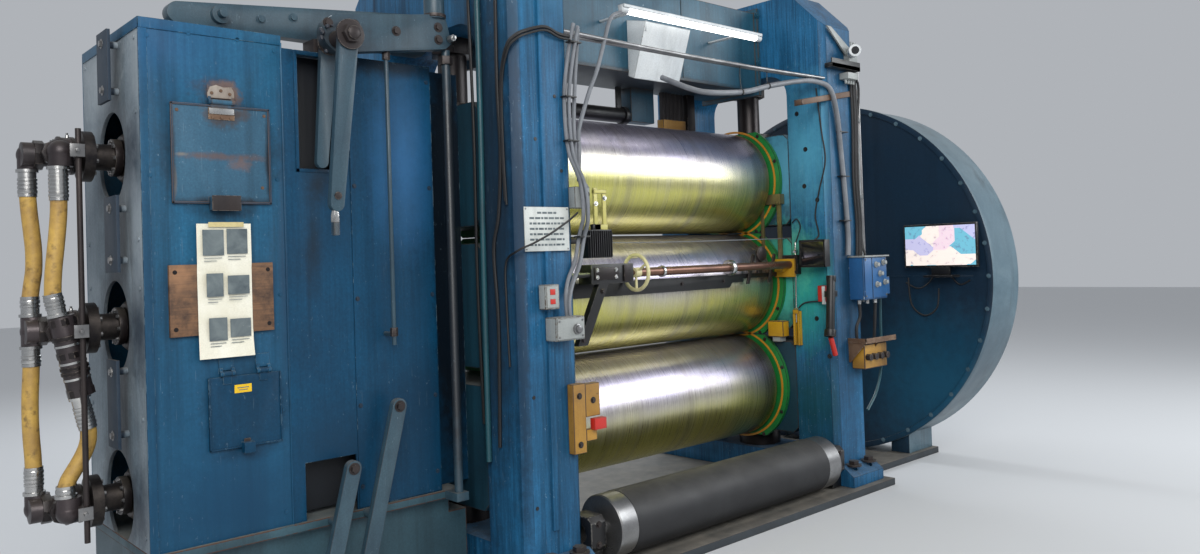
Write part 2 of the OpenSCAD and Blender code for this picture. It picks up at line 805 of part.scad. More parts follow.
module bottom_union() {
    rotary_union(low_z) {
        elbow(branch_x, branch_y, low_z, 1);
        elbow(rear_x, rear_y, low_z, 1);
    }
}

// A tube swept along a route, one ring of sides at each point
function unit(v) = v / norm(v);
function tangent(p, i) = unit(p[min(i + 1, len(p) - 1)] - p[max(i - 1, 0)]);
function ring(p, i, r, n) = let (
    t = tangent(p, i),
    u = unit(cross(t, abs(t[0]) < 0.9 ? [1, 0, 0] : [0, 1, 0])),
    v = cross(t, u)
) [for (k = [0:n - 1]) p[i] + r * (cos(360 * k / n) * u + sin(360 * k / n) * v)];

module tube(p, d, n = 12) {
    rings = len(p);
    points = [for (i = [0:rings - 1]) each ring(p, i, d / 2, n)];
    sides = [for (i = [0:rings - 2]) for (k = [0:n - 1])
        [i * n + k, (i + 1) * n + k, (i + 1) * n + (k + 1) % n, i * n + (k + 1) % n]];
    first = [for (k = [0:n - 1]) k];
    last = [for (k = [n - 1:-1:0]) (rings - 1) * n + k];
    polyhedron(points, concat([first], sides, [last]));
}

// A hose along its route, with a crimped sleeve from each end to its fitting
module fitted_hose(route, from, to) {
    tube(route, hose_d);
    rod_between(route[0], from, crimp_d, 32);
    rod_between(route[len(route) - 1], to, crimp_d, 32);
}

tee_dir = (tee_low - tee_top) / norm(tee_low - tee_top);
front_upper = [
    [branch_x, -125, 1925], [branch_x - 2, -125, 1860], [branch_x - 8, -126, 1790],
    [branch_x - 16, -127, 1715], [branch_x - 24, -128, 1645], [branch_x - 28, -127, 1585],
    [branch_x - 29, -125, 1530]
];
front_lower = [
    [branch_x + 83, -125, 1005], [branch_x + 87, -125, 975], [branch_x + 84, -125, 938],
    [branch_x + 71, -125, 900], [branch_x + 51, -125, 862], [branch_x + 29, -125, 827],
    [branch_x + 11, -125, 797], [branch_x, -125, 765]
];
rear_upper = [
    [rear_x, 40, 1950], [rear_x + 4, 40, 1880], [rear_x + 11, 40, 1800], [rear_x + 17, 40, 1720],
    [rear_x + 16, 40, 1640], [rear_x + 7, 40, 1575], [rear_x, 40, 1520]
];
rear_lower = [
    [rear_x, 40, 1260], [rear_x - 3, 40, 1200], [rear_x - 7, 40, 1120], [rear_x - 8, 40, 1040],
    [rear_x - 6, 40, 960], [rear_x - 2, 40, 890], [rear_x, 40, 830]
];

module union_hoses() {
    mouth = 58 + seat;
    color([0.75, 0.6, 0.22]) {
        fitted_hose(front_upper, [branch_x, branch_y, top_z - mouth], tee_top - seat * tee_dir);
        fitted_hose(front_lower, tee_low + seat * tee_dir, [branch_x, branch_y, low_z + mouth]);
        fitted_hose(rear_upper, [rear_x, rear_y, top_z - mouth], [rear_x, rear_y, mid_axis_z + mouth]);
        fitted_hose(rear_lower, [rear_x, rear_y, mid_axis_z - mouth], [rear_x, rear_y, low_z + mouth]);
    }
}

module anti_rotation_rod() {
    color([0.1, 0.1, 0.11])
        bar_z(rod_d, rod_x, rod_y, low_z - 120, top_z + 90);
}

// Roll end guards: a cropped disc round each journal, on the inner face of a housing

guard_od = 840;
guard_disc_t = 26;

module roll_end_guards() {
    color([0.15, 0.5, 0.2])
        for (x = [-inner_x + seat, inner_x - guard_disc_t - seat]) for (z = axes_z)
            difference() {
                intersection() {
                    bar_x(guard_od, x, x + guard_disc_t, 0, z, round_fn);
                    block([x - 1, -guard_od, z - pitch / 2 + 2],
                        [x + guard_disc_t + 1, guard_od, z + pitch / 2 - 2]);
                }
                bar_x(journal_d + 150, x - 1, x + guard_disc_t + 1, 0, z, round_fn);
            }
}

// Front fittings

knife_y = -487;
knife_z = 1518;
wheel_x = -405;
shaft_end_d = 28;
hub_l = 44;
rail_top_z = knife_z - knife_d / 2 - 22;
rail_t = 18;
rail_y = -roll_d / 2 - clear - rail_t;
block_x0 = -820;
block_x1 = -500;
bracket_t = 40;

// The flat rail close to the middle roll, stepped down at its right end, and the bracket of the screw
module knife_rail() {
    low = rail_top_z - 86;
    end_x = inner_x - guard_disc_t - 2 * seat;
    color([0.08, 0.08, 0.09])
        plate_y([
            [-end_x, low], [560, low], [590, low + 32], [700, low + 32], [700, low + 56],
            [end_x, low + 56], [end_x, rail_top_z], [-end_x, rail_top_z]
        ], rail_y, rail_y + rail_t);
    color([0.75, 0.62, 0.2]) difference() {
        block([inner_x - bracket_t, knife_y - 62, knife_z - 66],
            [inner_x - seat, knife_y + 62, knife_z + 66]);
        bar_x(shaft_end_d + 2 * run_fit, inner_x - bracket_t - 1, inner_x, knife_y, knife_z);
    }
}

// The screw that carries the trimming knives: a round bar with turned-down ends
module knife_screw() {
    color([0.45, 0.3, 0.22]) turned_x([
        [block_x1 - 70, 0], [block_x1 - 70, shaft_end_d / 2], [wheel_x + hub_l / 2 + seat, shaft_end_d / 2],
        [wheel_x + hub_l / 2 + seat, knife_d / 2], [inner_x - bracket_t - clear, knife_d / 2],
        [inner_x - bracket_t - clear, shaft_end_d / 2], [inner_x - 8, shaft_end_d / 2], [inner_x - 8, 0]
    ], knife_y, knife_z, small_fn);
}

// The black block that holds the left end of the screw: two rods carry it, and a raked strut hangs below
block_front = 76;
block_rear = 30;
block_drop = 52;
block_rise = 56;

module knife_block() {
    y0 = knife_y - block_front;
    y1 = knife_y + block_rear;
    z0 = knife_z - block_drop;
    color([0.1, 0.1, 0.11]) difference() {
        union() {
            block([block_x0, y0, z0], [block_x1, y1, knife_z + block_rise]);
            for (y = [y0 + 22, y1 - 22])
                bar_x(28, -inner_x + seat, block_x0 + 1, y, knife_z);
            plate_y([[-760, z0 + 10], [-690, z0 + 10], [-860, 1140], [-930, 1140]], y0, y0 + 40);
        }
        bar_x(shaft_end_d + 2 * run_fit, block_x1 - 80, block_x1 + 1, knife_y, knife_z);
    }
}

// Handwheel: a round rim, three spokes, a hub bored for the screw and a crank knob
module handwheel() {
    rim_r = wheel_d / 2 - wheel_rim / 2;
    color([0.82, 0.78, 0.62]) translate([wheel_x, knife_y, knife_z]) rotate([0, 90, 0]) {
        rotate_extrude($fn = round_fn) translate([rim_r, 0]) circle(d = wheel_rim, $fn = 24);
        difference() {
            union() {
                translate([0, 0, -hub_l / 2])
                    cylinder(d = 58, h = hub_l, $fn = small_fn);
                for (a = [90, 210, 330]) rotate(a) rotate([90, 0, 0]) cylinder(d = 15, h = rim_r, $fn = 24);
            }
            translate([0, 0, -hub_l / 2 - 1])
                cylinder(d = shaft_end_d + 2 * seat, h = hub_l + 2, $fn = small_fn);
        }
        rotate(150) translate([rim_r, 0, 0]) cylinder(d = 13, h = 62, $fn = 24);
    }
}

module control_box() {
    color([0.16, 0.38, 0.62])
        block([outer_x - 160, front_y - 113, 1265], [outer_x + 135, front_y - seat, 1560]);
}

module button_boxes() {
    color([0.62, 0.64, 0.6]) {
        block([-1380, front_y - 62, 1370], [-1290, front_y - bead_t - seat, 1490]);
        block([-1345, front_y - 92, 1215], [-1160, front_y - bead_t - seat, 1330]);
    }
}

flood_arm_d = 26;
near_flood = [-940, -680, 1610];
near_flood_size = [170, 60, 150];
near_arm_rise = 90;
far_flood = [inner_x - 95, -810, 1500];
far_flood_size = [55, 200, 180];
far_arm_step = 110;

module flood_lamps() {
    color([0.05, 0.05, 0.06]) {
        block(near_flood, near_flood + near_flood_size);
        bar_x(flood_arm_d, -inner_x + seat, near_flood[0] + 10,
            near_flood[1] + near_flood_size[1] / 2, near_flood[2] + near_arm_rise);
        block(far_flood, far_flood + far_flood_size);
        bar_x(flood_arm_d, far_flood[0] + 35, inner_x - seat,
            far_flood[1] + far_arm_step, far_flood[2] + far_flood_size[2] / 2);
    }
}

lamp_y = -571;
lamp_x = 94;
lamp_l = 1270;
lamp_place = 3 / 7;
lamp_z = beam_z + lamp_place * beam_h;
lamp_h = 52;
lamp_w = 66;

module tube_lamp() {
    arm = 30;
    color([0.9, 0.9, 0.88]) {
        block([lamp_x - lamp_l / 2, lamp_y - lamp_w / 2, lamp_z],
            [lamp_x + lamp_l / 2, lamp_y + lamp_w / 2, lamp_z + lamp_h]);
        for (side = [-1, 1])
            block([lamp_x + side * 0.39 * lamp_l, lamp_y + lamp_w / 2 - 1, lamp_z + lamp_h - 15],
                [lamp_x + side * 0.39 * lamp_l + arm, -beam_d / 2 - seat, lamp_z + lamp_h - 3]);
    }
}

vent_x0 = -170;
vent_x1 = 235;

module vent_box() {
    color([0.75, 0.78, 0.78])
        plate_x([
            [-beam_d / 2 - seat, beam_z - 25], [-beam_d / 2 - seat, beam_z + 325],
            [-beam_d / 2 - 165, beam_z + 285], [-beam_d / 2 - 50, beam_z - 45]
        ], vent_x0, vent_x1);
}

conduit_d = 34;
conduit_step = 46;
conduit_z = [1240, 3060];
conduit_clips = [1420, 1960, 2500, 2980];
clip_t = 26;
clip_w = 44;

module conduits() {
    x0 = outer_x + conduit_d;
    y0 = front_y + conduit_step;
    color([0.5, 0.52, 0.52]) {
        for (x = [x0, x0 + conduit_step])
            bar_z(conduit_d, x, y0, conduit_z[0], conduit_z[1]);
        for (z = conduit_clips)
            block([outer_x + seat, y0 - clip_w / 2, z],
                [x0 + conduit_step + clip_w / 2, y0 + clip_w / 2, z + clip_t]);
    }
}

// The gear guard: a closed round housing with a hole for the drive neck
module gear_guard() {
    color([0.12, 0.25, 0.36]) difference() {
        bar_x(2 * guard_r, drum_x, drum_far_x, 0, mid_axis_z, 128);
        bar_x(tail_d + 40 + 2 * clear, drum_x - 1, drum_x + drum_t + 110, 0, mid_axis_z, round_fn);
    }
    color([0.3, 0.42, 0.5]) difference() {
        bar_x(2 * guard_rim_r, drum_x - 10, drum_x + 50, 0, mid_axis_z, 128);
        bar_x(2 * guard_r - 60, drum_x - 11, drum_x + 51, 0, mid_axis_z, 128);
    }
    // Two feet on the rails of the sole plate
    color([0.12, 0.25, 0.36]) for (y = [-guard_foot_out, guard_foot_in])
        block([drum_x + 40, y, bed_t + seat], [drum_far_x - 40, y + guard_foot_out - guard_foot_in, 300]);
}

screen_w = 560;
screen_h = 316;
screen_y = -1010;
screen_z = mid_axis_z + 225;
screen_t = 30;
screen_arm = 40;

module monitor() {
    grip = 100;
    color([0.08, 0.08, 0.09]) {
        block([drum_x - screen_arm - screen_t, screen_y - screen_w / 2, screen_z - screen_h / 2],
            [drum_x - screen_arm, screen_y + screen_w / 2, screen_z + screen_h / 2]);
        block([drum_x - screen_arm - 1, screen_y - grip / 2, screen_z - grip / 2],
            [drum_x - seat, screen_y + grip / 2, screen_z + grip / 2]);
    }
}

guide_y = -745;
guide_z = 225;
guide_neck_d = 90;

module guide_roller() {
    half = guide_face / 2;
    color([0.55, 0.56, 0.57])
        turned_x([
            [-inner_x + 40, 0], [-inner_x + 40, guide_neck_d / 2], [-half, guide_neck_d / 2],
            [-half, guide_d / 2 - 6], [-half + 6, guide_d / 2], [half - 6, guide_d / 2],
            [half, guide_d / 2 - 6], [half, guide_neck_d / 2], [inner_x - 40, guide_neck_d / 2],
            [inner_x - 40, 0]
        ], guide_y, guide_z);
}

module guide_roller_bearings() {
    color([0.2, 0.24, 0.28])
        for (x = [-inner_x + seat, inner_x - 100]) difference() {
            union() {
                plate_x(chamfered(guide_y - 90, guide_z - 90, guide_y + 90, guide_z + 90, 30),
                    x, x + 100 - seat);
                block([x, guide_y - 60, bed_t + seat], [x + 100 - seat, guide_y + 60, guide_z]);
            }
            bar_x(guide_neck_d + 2 * run_fit, x - 1, x + 101, guide_y, guide_z);
        }
}

bed_plate();
near_housing();
far_housing();
cross_beam();
top_roll();
middle_roll();
bottom_roll();
near_bearing_boxes();
far_bearing_boxes();
adjusting_screws();
casing_plinth();
casing_front();
casing_side();
casing_back();
casing_top();
casing_inner_wall();
upper_hatch();
lower_hatch();
wood_board();
link_guard();
rear_lever_arm();
front_lever_arm();
lever_shaft();
lever_links();
lower_links();
top_union();
middle_union();
bottom_union();
union_hoses();
anti_rotation_rod();
roll_end_guards();
knife_rail();
knife_screw();
knife_block();
handwheel();
control_box();
button_boxes();
flood_lamps();
tube_lamp();
vent_box();
conduits();
gear_guard();
monitor();
guide_roller();
guide_roller_bearings();
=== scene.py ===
import math
import random

import bmesh
import bpy
from mathutils import Matrix, Vector


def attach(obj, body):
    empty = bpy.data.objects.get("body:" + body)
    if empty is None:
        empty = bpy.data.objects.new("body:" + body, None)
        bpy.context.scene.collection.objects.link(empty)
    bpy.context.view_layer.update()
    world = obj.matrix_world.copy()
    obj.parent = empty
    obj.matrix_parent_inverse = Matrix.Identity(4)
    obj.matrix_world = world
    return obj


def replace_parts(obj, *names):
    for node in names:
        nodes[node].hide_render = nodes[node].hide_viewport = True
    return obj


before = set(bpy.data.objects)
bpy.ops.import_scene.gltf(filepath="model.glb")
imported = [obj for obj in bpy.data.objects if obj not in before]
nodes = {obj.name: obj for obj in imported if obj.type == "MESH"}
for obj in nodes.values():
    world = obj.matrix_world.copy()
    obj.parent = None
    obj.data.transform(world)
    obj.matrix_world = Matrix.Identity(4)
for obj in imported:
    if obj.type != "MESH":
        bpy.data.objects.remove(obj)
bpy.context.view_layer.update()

STAND = "stand"

# Places that the CAD part gives, in metres
INNER = 1.12  # inner faces of the housings, from the middle
INSIDE = INNER - 0.0005
FRONT = -0.791  # front faces of the housings
ON_POST = FRONT - 0.0005
PANEL = -0.404  # front of the casing and of the link guard
HATCH_Y = -0.4123  # front of both hatches
CASE_L = -3.041  # left end of the casing
CASE_R = -2.46  # its right end
# Plates on the outer wall: y, z and how far their paint reaches up and down
SIDE_PLATES = ((-0.115, 2.471, 0.27), (-0.18, 1.774, 0.28), (-0.148, 1.081, 0.32))
PIVOT_X, PIVOT_Z = -2.25, 2.62  # shaft of the lever arms
ROLL_Z = (0.671, 1.39, 2.109)  # roll axes, from the lowest up
ROLL_GAP = ROLL_Z[1] - ROLL_Z[0]
ROLL_FACE = 1.0695  # half the length of a roll's working face
MID_Z = ROLL_Z[1]
SCREW_Y, SCREW_Z = -0.487, 1.518  # knife screw
BRANCH_X = -3.262  # front branches of the rotary unions
HOSE_R = 0.031
DRUM_X = 2.24  # near face of the round gear guard
DRUM_FAR = 2.667  # its far face
DRUM_R = 1.355
DRUM_BOLTS = 36

# Directions
ACROSS = (1, 0, 0)
TO_FRONT = (0, -1, 0)
UP = (0, 0, 1)

# The camera, solved from the vanishing points and the upright edges
EYE = (-4.172, -4.319, 1.615)
YAW, PITCH, ROLL = (math.radians(angle) for angle in (42.353, -1.052, -1.94))
LENS = 27.8
SENSOR = 36
SHIFT_UP = -0.0309


def photo_camera():
    ahead = Vector((math.sin(YAW) * math.cos(PITCH), math.cos(YAW) * math.cos(PITCH), -math.sin(PITCH)))
    level = Vector((math.cos(YAW), -math.sin(YAW), 0))
    above = level.cross(ahead)
    right = math.cos(ROLL) * level + math.sin(ROLL) * above
    up = -math.sin(ROLL) * level + math.cos(ROLL) * above
    turn = Matrix((right, up, -ahead)).transposed()
    data = bpy.data.cameras.new("photo_camera")
    data.lens = LENS
    data.sensor_width = SENSOR
    data.shift_y = SHIFT_UP
    data.clip_end = 200
    camera = bpy.data.objects.new("photo_camera", data)
    camera.matrix_world = Matrix.Translation(EYE) @ turn.to_4x4()
    bpy.context.scene.collection.objects.link(camera)
    bpy.context.scene.camera = camera


# Node helpers

def put(tree, kind, inputs=None, **settings):
    node = tree.nodes.new(kind)
    for key, value in settings.items():
        setattr(node, key, value)
    for key, value in (inputs or {}).items():
        socket = node.inputs[key]
        if isinstance(value, bpy.types.NodeSocket):
            tree.links.new(value, socket)
        else:
            socket.default_value = value
    return node


def srgb(r, g, b):
    def one(c):
        c /= 255
        return c / 12.92 if c <= 0.04045 else ((c + 0.055) / 1.055) ** 2.4
    return (one(r), one(g), one(b), 1)


def math_node(tree, operation, a, b=0.0, clamp=False):
    return put(tree, "ShaderNodeMath", {0: a, 1: b}, operation=operation, use_clamp=clamp).outputs[0]


def times(tree, a, b, clamp=False):
    return math_node(tree, "MULTIPLY", a, b, clamp)


def plus(tree, a, b, clamp=False):
    return math_node(tree, "ADD", a, b, clamp)


def ramp(tree, value, low, high, to_low=0.0, to_high=1.0):
    return put(tree, "ShaderNodeMapRange", {"Value": value, "From Min": low, "From Max": high,
                                            "To Min": to_low, "To Max": to_high}).outputs["Result"]


def blend_colour(tree, factor, a, b, how="MIX"):
    mix = put(tree, "ShaderNodeMix", data_type="RGBA", blend_type=how)
    for index, value in ((0, factor), (6, a), (7, b)):
        if isinstance(value, bpy.types.NodeSocket):
            tree.links.new(value, mix.inputs[index])
        else:
            mix.inputs[index].default_value = value
    return mix.outputs[2]


def shader_group(name, inputs, outputs=("Mask",)):
    """A shader node group whose inputs are (label, first value); its outputs are floats."""
    tree = bpy.data.node_groups.new(name, "ShaderNodeTree")
    for label, value in inputs:
        kind = "NodeSocketVector" if isinstance(value, tuple) else "NodeSocketFloat"
        socket = tree.interface.new_socket(label, in_out="INPUT", socket_type=kind)
        socket.default_value = value
    for label in outputs:
        tree.interface.new_socket(label, in_out="OUTPUT", socket_type="NodeSocketFloat")
    return tree, tree.nodes.new("NodeGroupInput"), tree.nodes.new("NodeGroupOutput")


def noise(tree, vector, scale, detail=4.0, rough=0.55, distort=0.0):
    return put(tree, "ShaderNodeTexNoise", {"Vector": vector, "Scale": scale, "Detail": detail,
                                            "Roughness": rough, "Distortion": distort}).outputs["Fac"]


def stretched(tree, vector, scale):
    return put(tree, "ShaderNodeMapping", {"Vector": vector, "Scale": scale}).outputs["Vector"]


def object_place(tree):
    return put(tree, "ShaderNodeTexCoord").outputs["Object"]


def worn_edges(tree):
    """The face attribute that bevel_sharp sets on rounded edges."""
    return put(tree, "ShaderNodeAttribute", attribute_name="edge", attribute_type="GEOMETRY").outputs["Fac"]


def relief(tree, shader, height, strength, distance):
    bump = put(tree, "ShaderNodeBump", {"Strength": strength, "Distance": distance, "Height": height})
    tree.links.new(bump.outputs["Normal"], shader.inputs["Normal"])


def tinted(colour, share, lift=0.0):
    return tuple(min(1, share * c + lift) for c in colour[:3]) + (1,)


# Shared effects

def make_mottle():
    tree, source, sink = shader_group("mottled_coat", [("Scale", 1.0)],
                                      ("Patches", "Grain"))
    place = object_place(tree)
    big = noise(tree, place, times(tree, source.outputs["Scale"], 1.4), 5.0, 0.6, 0.6)
    tree.links.new(ramp(tree, big, 0.32, 0.7), sink.inputs["Patches"])
    tree.links.new(noise(tree, place, times(tree, source.outputs["Scale"], 90.0), 3.0),
                   sink.inputs["Grain"])
    return tree


def make_runs():
    tree, source, sink = shader_group("run_marks", [("Width", 1.0), ("Amount", 0.5)])
    place = object_place(tree)
    fine = noise(tree, stretched(tree, place, (16, 16, 0.55)), source.outputs["Width"], 5.0, 0.62)
    broad = noise(tree, stretched(tree, place, (3.2, 3.2, 0.3)), source.outputs["Width"], 3.0, 0.5)
    both = times(tree, ramp(tree, fine, 0.45, 0.72), ramp(tree, broad, 0.38, 0.66))
    tree.links.new(times(tree, both, source.outputs["Amount"], True), sink.inputs["Mask"])
    return tree


def make_chips():
    tree, source, sink = shader_group("chipped_edges", [("Scale", 1.0), ("Flat", 0.1),
                                                        ("Edge", 0.6)])
    place = object_place(tree)
    edge = worn_edges(tree)
    amount = plus(tree, times(tree, edge, source.outputs["Edge"]), source.outputs["Flat"])
    flakes = noise(tree, place, times(tree, source.outputs["Scale"], 26.0), 7.0, 0.68, 0.3)
    where = noise(tree, place, times(tree, source.outputs["Scale"], 3.1), 2.0)
    level = math_node(tree, "SUBTRACT", 0.86, times(tree, amount, 0.36))
    flaking = plus(tree, times(tree, flakes, 0.78), times(tree, where, 0.34))
    low = math_node(tree, "SUBTRACT", level, 0.02)
    high = plus(tree, level, 0.02)
    tree.links.new(ramp(tree, flaking, low, high), sink.inputs["Mask"])
    return tree


def make_dust():
    tree, source, sink = shader_group("settled_dust", [("Amount", 0.6)])
    place = object_place(tree)
    normal = put(tree, "ShaderNodeNewGeometry").outputs["Normal"]
    up = put(tree, "ShaderNodeSeparateXYZ", {"Vector": normal}).outputs["Z"]
    facing = ramp(tree, up, 0.35, 0.95)
    rough = ramp(tree, noise(tree, place, 9.0, 6.0, 0.65), 0.3, 0.7, 0.45, 1.0)
    tree.links.new(times(tree, times(tree, facing, rough), source.outputs["Amount"], True),
                   sink.inputs["Mask"])
    return tree


# A soft, ragged local patch, used for stains and for patches of painted light and shade
def make_stain_and_light():
    tree, source, sink = shader_group("local_stain_and_light", [("Centre", (0, 0, 0)), ("Reach", (1, 1, 1)),
                                                      ("Ragged", 0.5), ("Soft", 0.5)])
    place = object_place(tree)
    shifted = put(tree, "ShaderNodeVectorMath", {0: place, 1: source.outputs["Centre"]},
                  operation="SUBTRACT").outputs[0]
    scaled = put(tree, "ShaderNodeVectorMath", {0: shifted, 1: source.outputs["Reach"]},
                 operation="DIVIDE").outputs[0]
    far = put(tree, "ShaderNodeVectorMath", {0: scaled}, operation="LENGTH").outputs["Value"]
    wobble = times(tree, math_node(tree, "SUBTRACT", noise(tree, place, 16.0, 7.0, 0.7), 0.5),
                   times(tree, source.outputs["Ragged"], 3.0))
    edge = plus(tree, far, wobble)
    low = math_node(tree, "SUBTRACT", 1.0, source.outputs["Soft"])
    tree.links.new(ramp(tree, edge, low, 1.0, 1.0, 0.0), sink.inputs["Mask"])
    return tree


def make_flecks():
    tree, source, sink = shader_group("pale_flecks", [("Amount", 0.5)])
    place = object_place(tree)
    specks = noise(tree, stretched(tree, place, (64, 64, 40)), 1.0, 5.0, 0.75)
    hairs = noise(tree, stretched(tree, place, (230, 230, 9)), 1.0, 2.0, 0.5)
    where = ramp(tree, noise(tree, place, 1.7, 4.0, 0.6), 0.36, 0.58)
    marks = math_node(tree, "MAXIMUM", ramp(tree, specks, 0.64, 0.7, 0.0, 0.8),
                      ramp(tree, hairs, 0.7, 0.76, 0.0, 0.5))
    both = times(tree, marks, where)
    tree.links.new(times(tree, both, source.outputs["Amount"], True), sink.inputs["Mask"])
    return tree


MOTTLE = make_mottle()
FLECKS = make_flecks()
RUNS = make_runs()
CHIPS = make_chips()
DUST = make_dust()
STAIN_AND_LIGHT = make_stain_and_light()


def effect(tree, group, **values):
    node = put(tree, "ShaderNodeGroup", node_tree=group)
    for key, value in values.items():
        node.inputs[key].default_value = value
    return node


def new_material(name):
    material = bpy.data.materials.new(name)
    material.use_nodes = True
    tree = material.node_tree
    return material, tree, tree.nodes["Principled BSDF"]


def streaks_and_sheen(tree, colour, dark, pale, strength):
    """Upright streaks, dark and pale: drips and brush marks, and on the casing's outer wall painted
    reflection.
    """
    marks = noise(tree, stretched(tree, object_place(tree), (74, 74, 2.6)), 1.0, 6.0, 0.74)
    colour = blend_colour(tree, ramp(tree, marks, 0.47, 0.62, 0.0, strength), colour, dark)
    return blend_colour(tree, ramp(tree, marks, 0.32, 0.44, 0.5 * strength, 0.0), colour, pale)


def coat(name, base, deep, under, rough=0.45, runs=0.5, chips=0.1, edge=0.7, dust=0.4, scale=1.0, bump=0.25,
         stains_and_light=(), run_colour=None, metal=0.0, dust_colour=(128, 122, 112), spec=0.5, flecks=0.0,
         streaks=0.0):
    """Old machine paint: patches, run marks, chips to the undercoat, local stain marks, local patches of
    painted light and shade, and settled dust.

    The three colours are the paint, its darker patches and what shows under the chips. The numbers after
    them are the roughness, the strength of runs, chips, worn edges and dust, the scale and the bump.
    """
    base, deep, under = srgb(*base), srgb(*deep), srgb(*under)
    material, tree, shader = new_material(name)
    mottle = effect(tree, MOTTLE, Scale=scale)
    colour = blend_colour(tree, mottle.outputs["Patches"], base, deep)
    grain = ramp(tree, mottle.outputs["Grain"], 0.3, 0.7, 0.86, 1.1)
    shade = put(tree, "ShaderNodeCombineColor", {0: grain, 1: grain, 2: grain}).outputs[0]
    colour = blend_colour(tree, 1.0, colour, shade, "MULTIPLY")
    run_mask = effect(tree, RUNS, Width=1.0, Amount=runs).outputs["Mask"]
    colour = blend_colour(tree, run_mask, colour, srgb(*run_colour) if run_colour else tinted(deep, 0.25))
    if streaks:
        colour = streaks_and_sheen(tree, colour, tinted(deep, 0.4), tinted(base, 1.7, 0.01), streaks)
    # Local stain marks, and local patches of painted light and shade
    for centre, reach, stain_and_light_colour, strength, ragged, soft in stains_and_light:
        mask = effect(tree, STAIN_AND_LIGHT, Centre=centre, Reach=reach, Ragged=ragged, Soft=soft).outputs["Mask"]
        colour = blend_colour(tree, times(tree, mask, strength), colour, srgb(*stain_and_light_colour))
    if flecks:
        fleck_mask = effect(tree, FLECKS, Amount=flecks).outputs["Mask"]
        colour = blend_colour(tree, fleck_mask, colour, srgb(150, 172, 186))
    grease = times(tree, worn_edges(tree), ramp(tree, mottle.outputs["Patches"], 0.2, 0.8, 0.35, 0.8))
    colour = blend_colour(tree, grease, colour, tinted(deep, 0.3))
    chip_mask = effect(tree, CHIPS, Scale=scale, Flat=chips, Edge=edge).outputs["Mask"]
    colour = blend_colour(tree, chip_mask, colour, under)
    if dust:
        dust_mask = effect(tree, DUST, Amount=dust).outputs["Mask"]
        colour = blend_colour(tree, dust_mask, colour, srgb(*dust_colour))
    tree.links.new(colour, shader.inputs["Base Color"])
    gloss = plus(tree, ramp(tree, mottle.outputs["Patches"], 0, 1, rough - 0.06, rough + 0.1),
                 times(tree, chip_mask, 0.2), True)
    tree.links.new(gloss, shader.inputs["Roughness"])
    shader.inputs["Metallic"].default_value = metal
    shader.inputs["Specular IOR Level"].default_value = spec
    height = math_node(tree, "SUBTRACT", times(tree, mottle.outputs["Grain"], 0.25),
                       times(tree, chip_mask, 0.6))
    relief(tree, shader, height, bump, 0.002)
    return material


# Colours as a screen shows them, from 0 to 255
DARK_RUST = (70, 45, 34)
# Black for oil, and for painted shadow under the hatches and below the link guard's slot
OIL_AND_SHADOW = (16, 20, 24)
PRIMER = (96, 118, 128)
IRON = (44, 40, 40)
DEEP_BLUE = (14, 48, 72)


# Each stain, and each patch of painted light or shade, is its centre, its reach, its colour, its strength,
# how ragged and how soft its edge is
def casing_paint():
    casing_stains_and_shade = [
        ((-2.73, PANEL, 2.35), (0.12, 0.06, 0.085), (52, 50, 52), 0.85, 0.75, 0.8),
        ((-2.71, PANEL, 2.35), (0.08, 0.06, 0.06), (120, 92, 72), 0.7, 0.8, 0.5),
        # Dark just under the bottom edges of the two hatches: painted shadow, with grime
        ((-2.72, PANEL, 1.86), (0.17, 0.06, 0.05), OIL_AND_SHADOW, 0.55, 0.2, 0.9),
        ((-2.66, PANEL, 0.84), (0.2, 0.06, 0.04), OIL_AND_SHADOW, 0.5, 0.3, 0.9),
        ((-2.62, PANEL, 1.55), (0.5, 0.1, 0.12), (26, 62, 92), 0.35, 0.4, 0.9),
        ((-3.03, PANEL, 1.6), (0.04, 0.06, 1.2), (22, 50, 74), 0.55, 0.25, 0.8),
        ((-2.47, PANEL, 1.6), (0.03, 0.06, 1.2), (22, 50, 74), 0.6, 0.25, 0.8),
        ((-2.74, PANEL, 0.62), (0.5, 0.1, 0.22), DEEP_BLUE, 0.5, 0.3, 0.9),
        ((-3.0, PANEL, 2.55), (0.5, 0.1, 0.25), (30, 84, 130), 0.4, 0.3, 0.9),
        ((-2.74, PANEL, 0.7), (0.7, 0.1, 0.9), (12, 60, 90), 0.8, 0.2, 0.9),
        # Dark round the outlines of the two hatches: painted shade
        ((-2.727, PANEL, 2.09), (0.29, 0.06, 0.27), (16, 44, 62), 0.75, 0.35, 0.45),
        ((-2.65, PANEL, 1.02), (0.22, 0.06, 0.22), (10, 44, 66), 0.7, 0.3, 0.45),
    ]
    return coat("casing_enamel", (34, 93, 126), (20, 72, 102), PRIMER, 0.42, 0.8, 0.08, 0.7, 0.3, 1.0, 0.4,
                casing_stains_and_shade, flecks=0.45, spec=0.28, streaks=0.18)


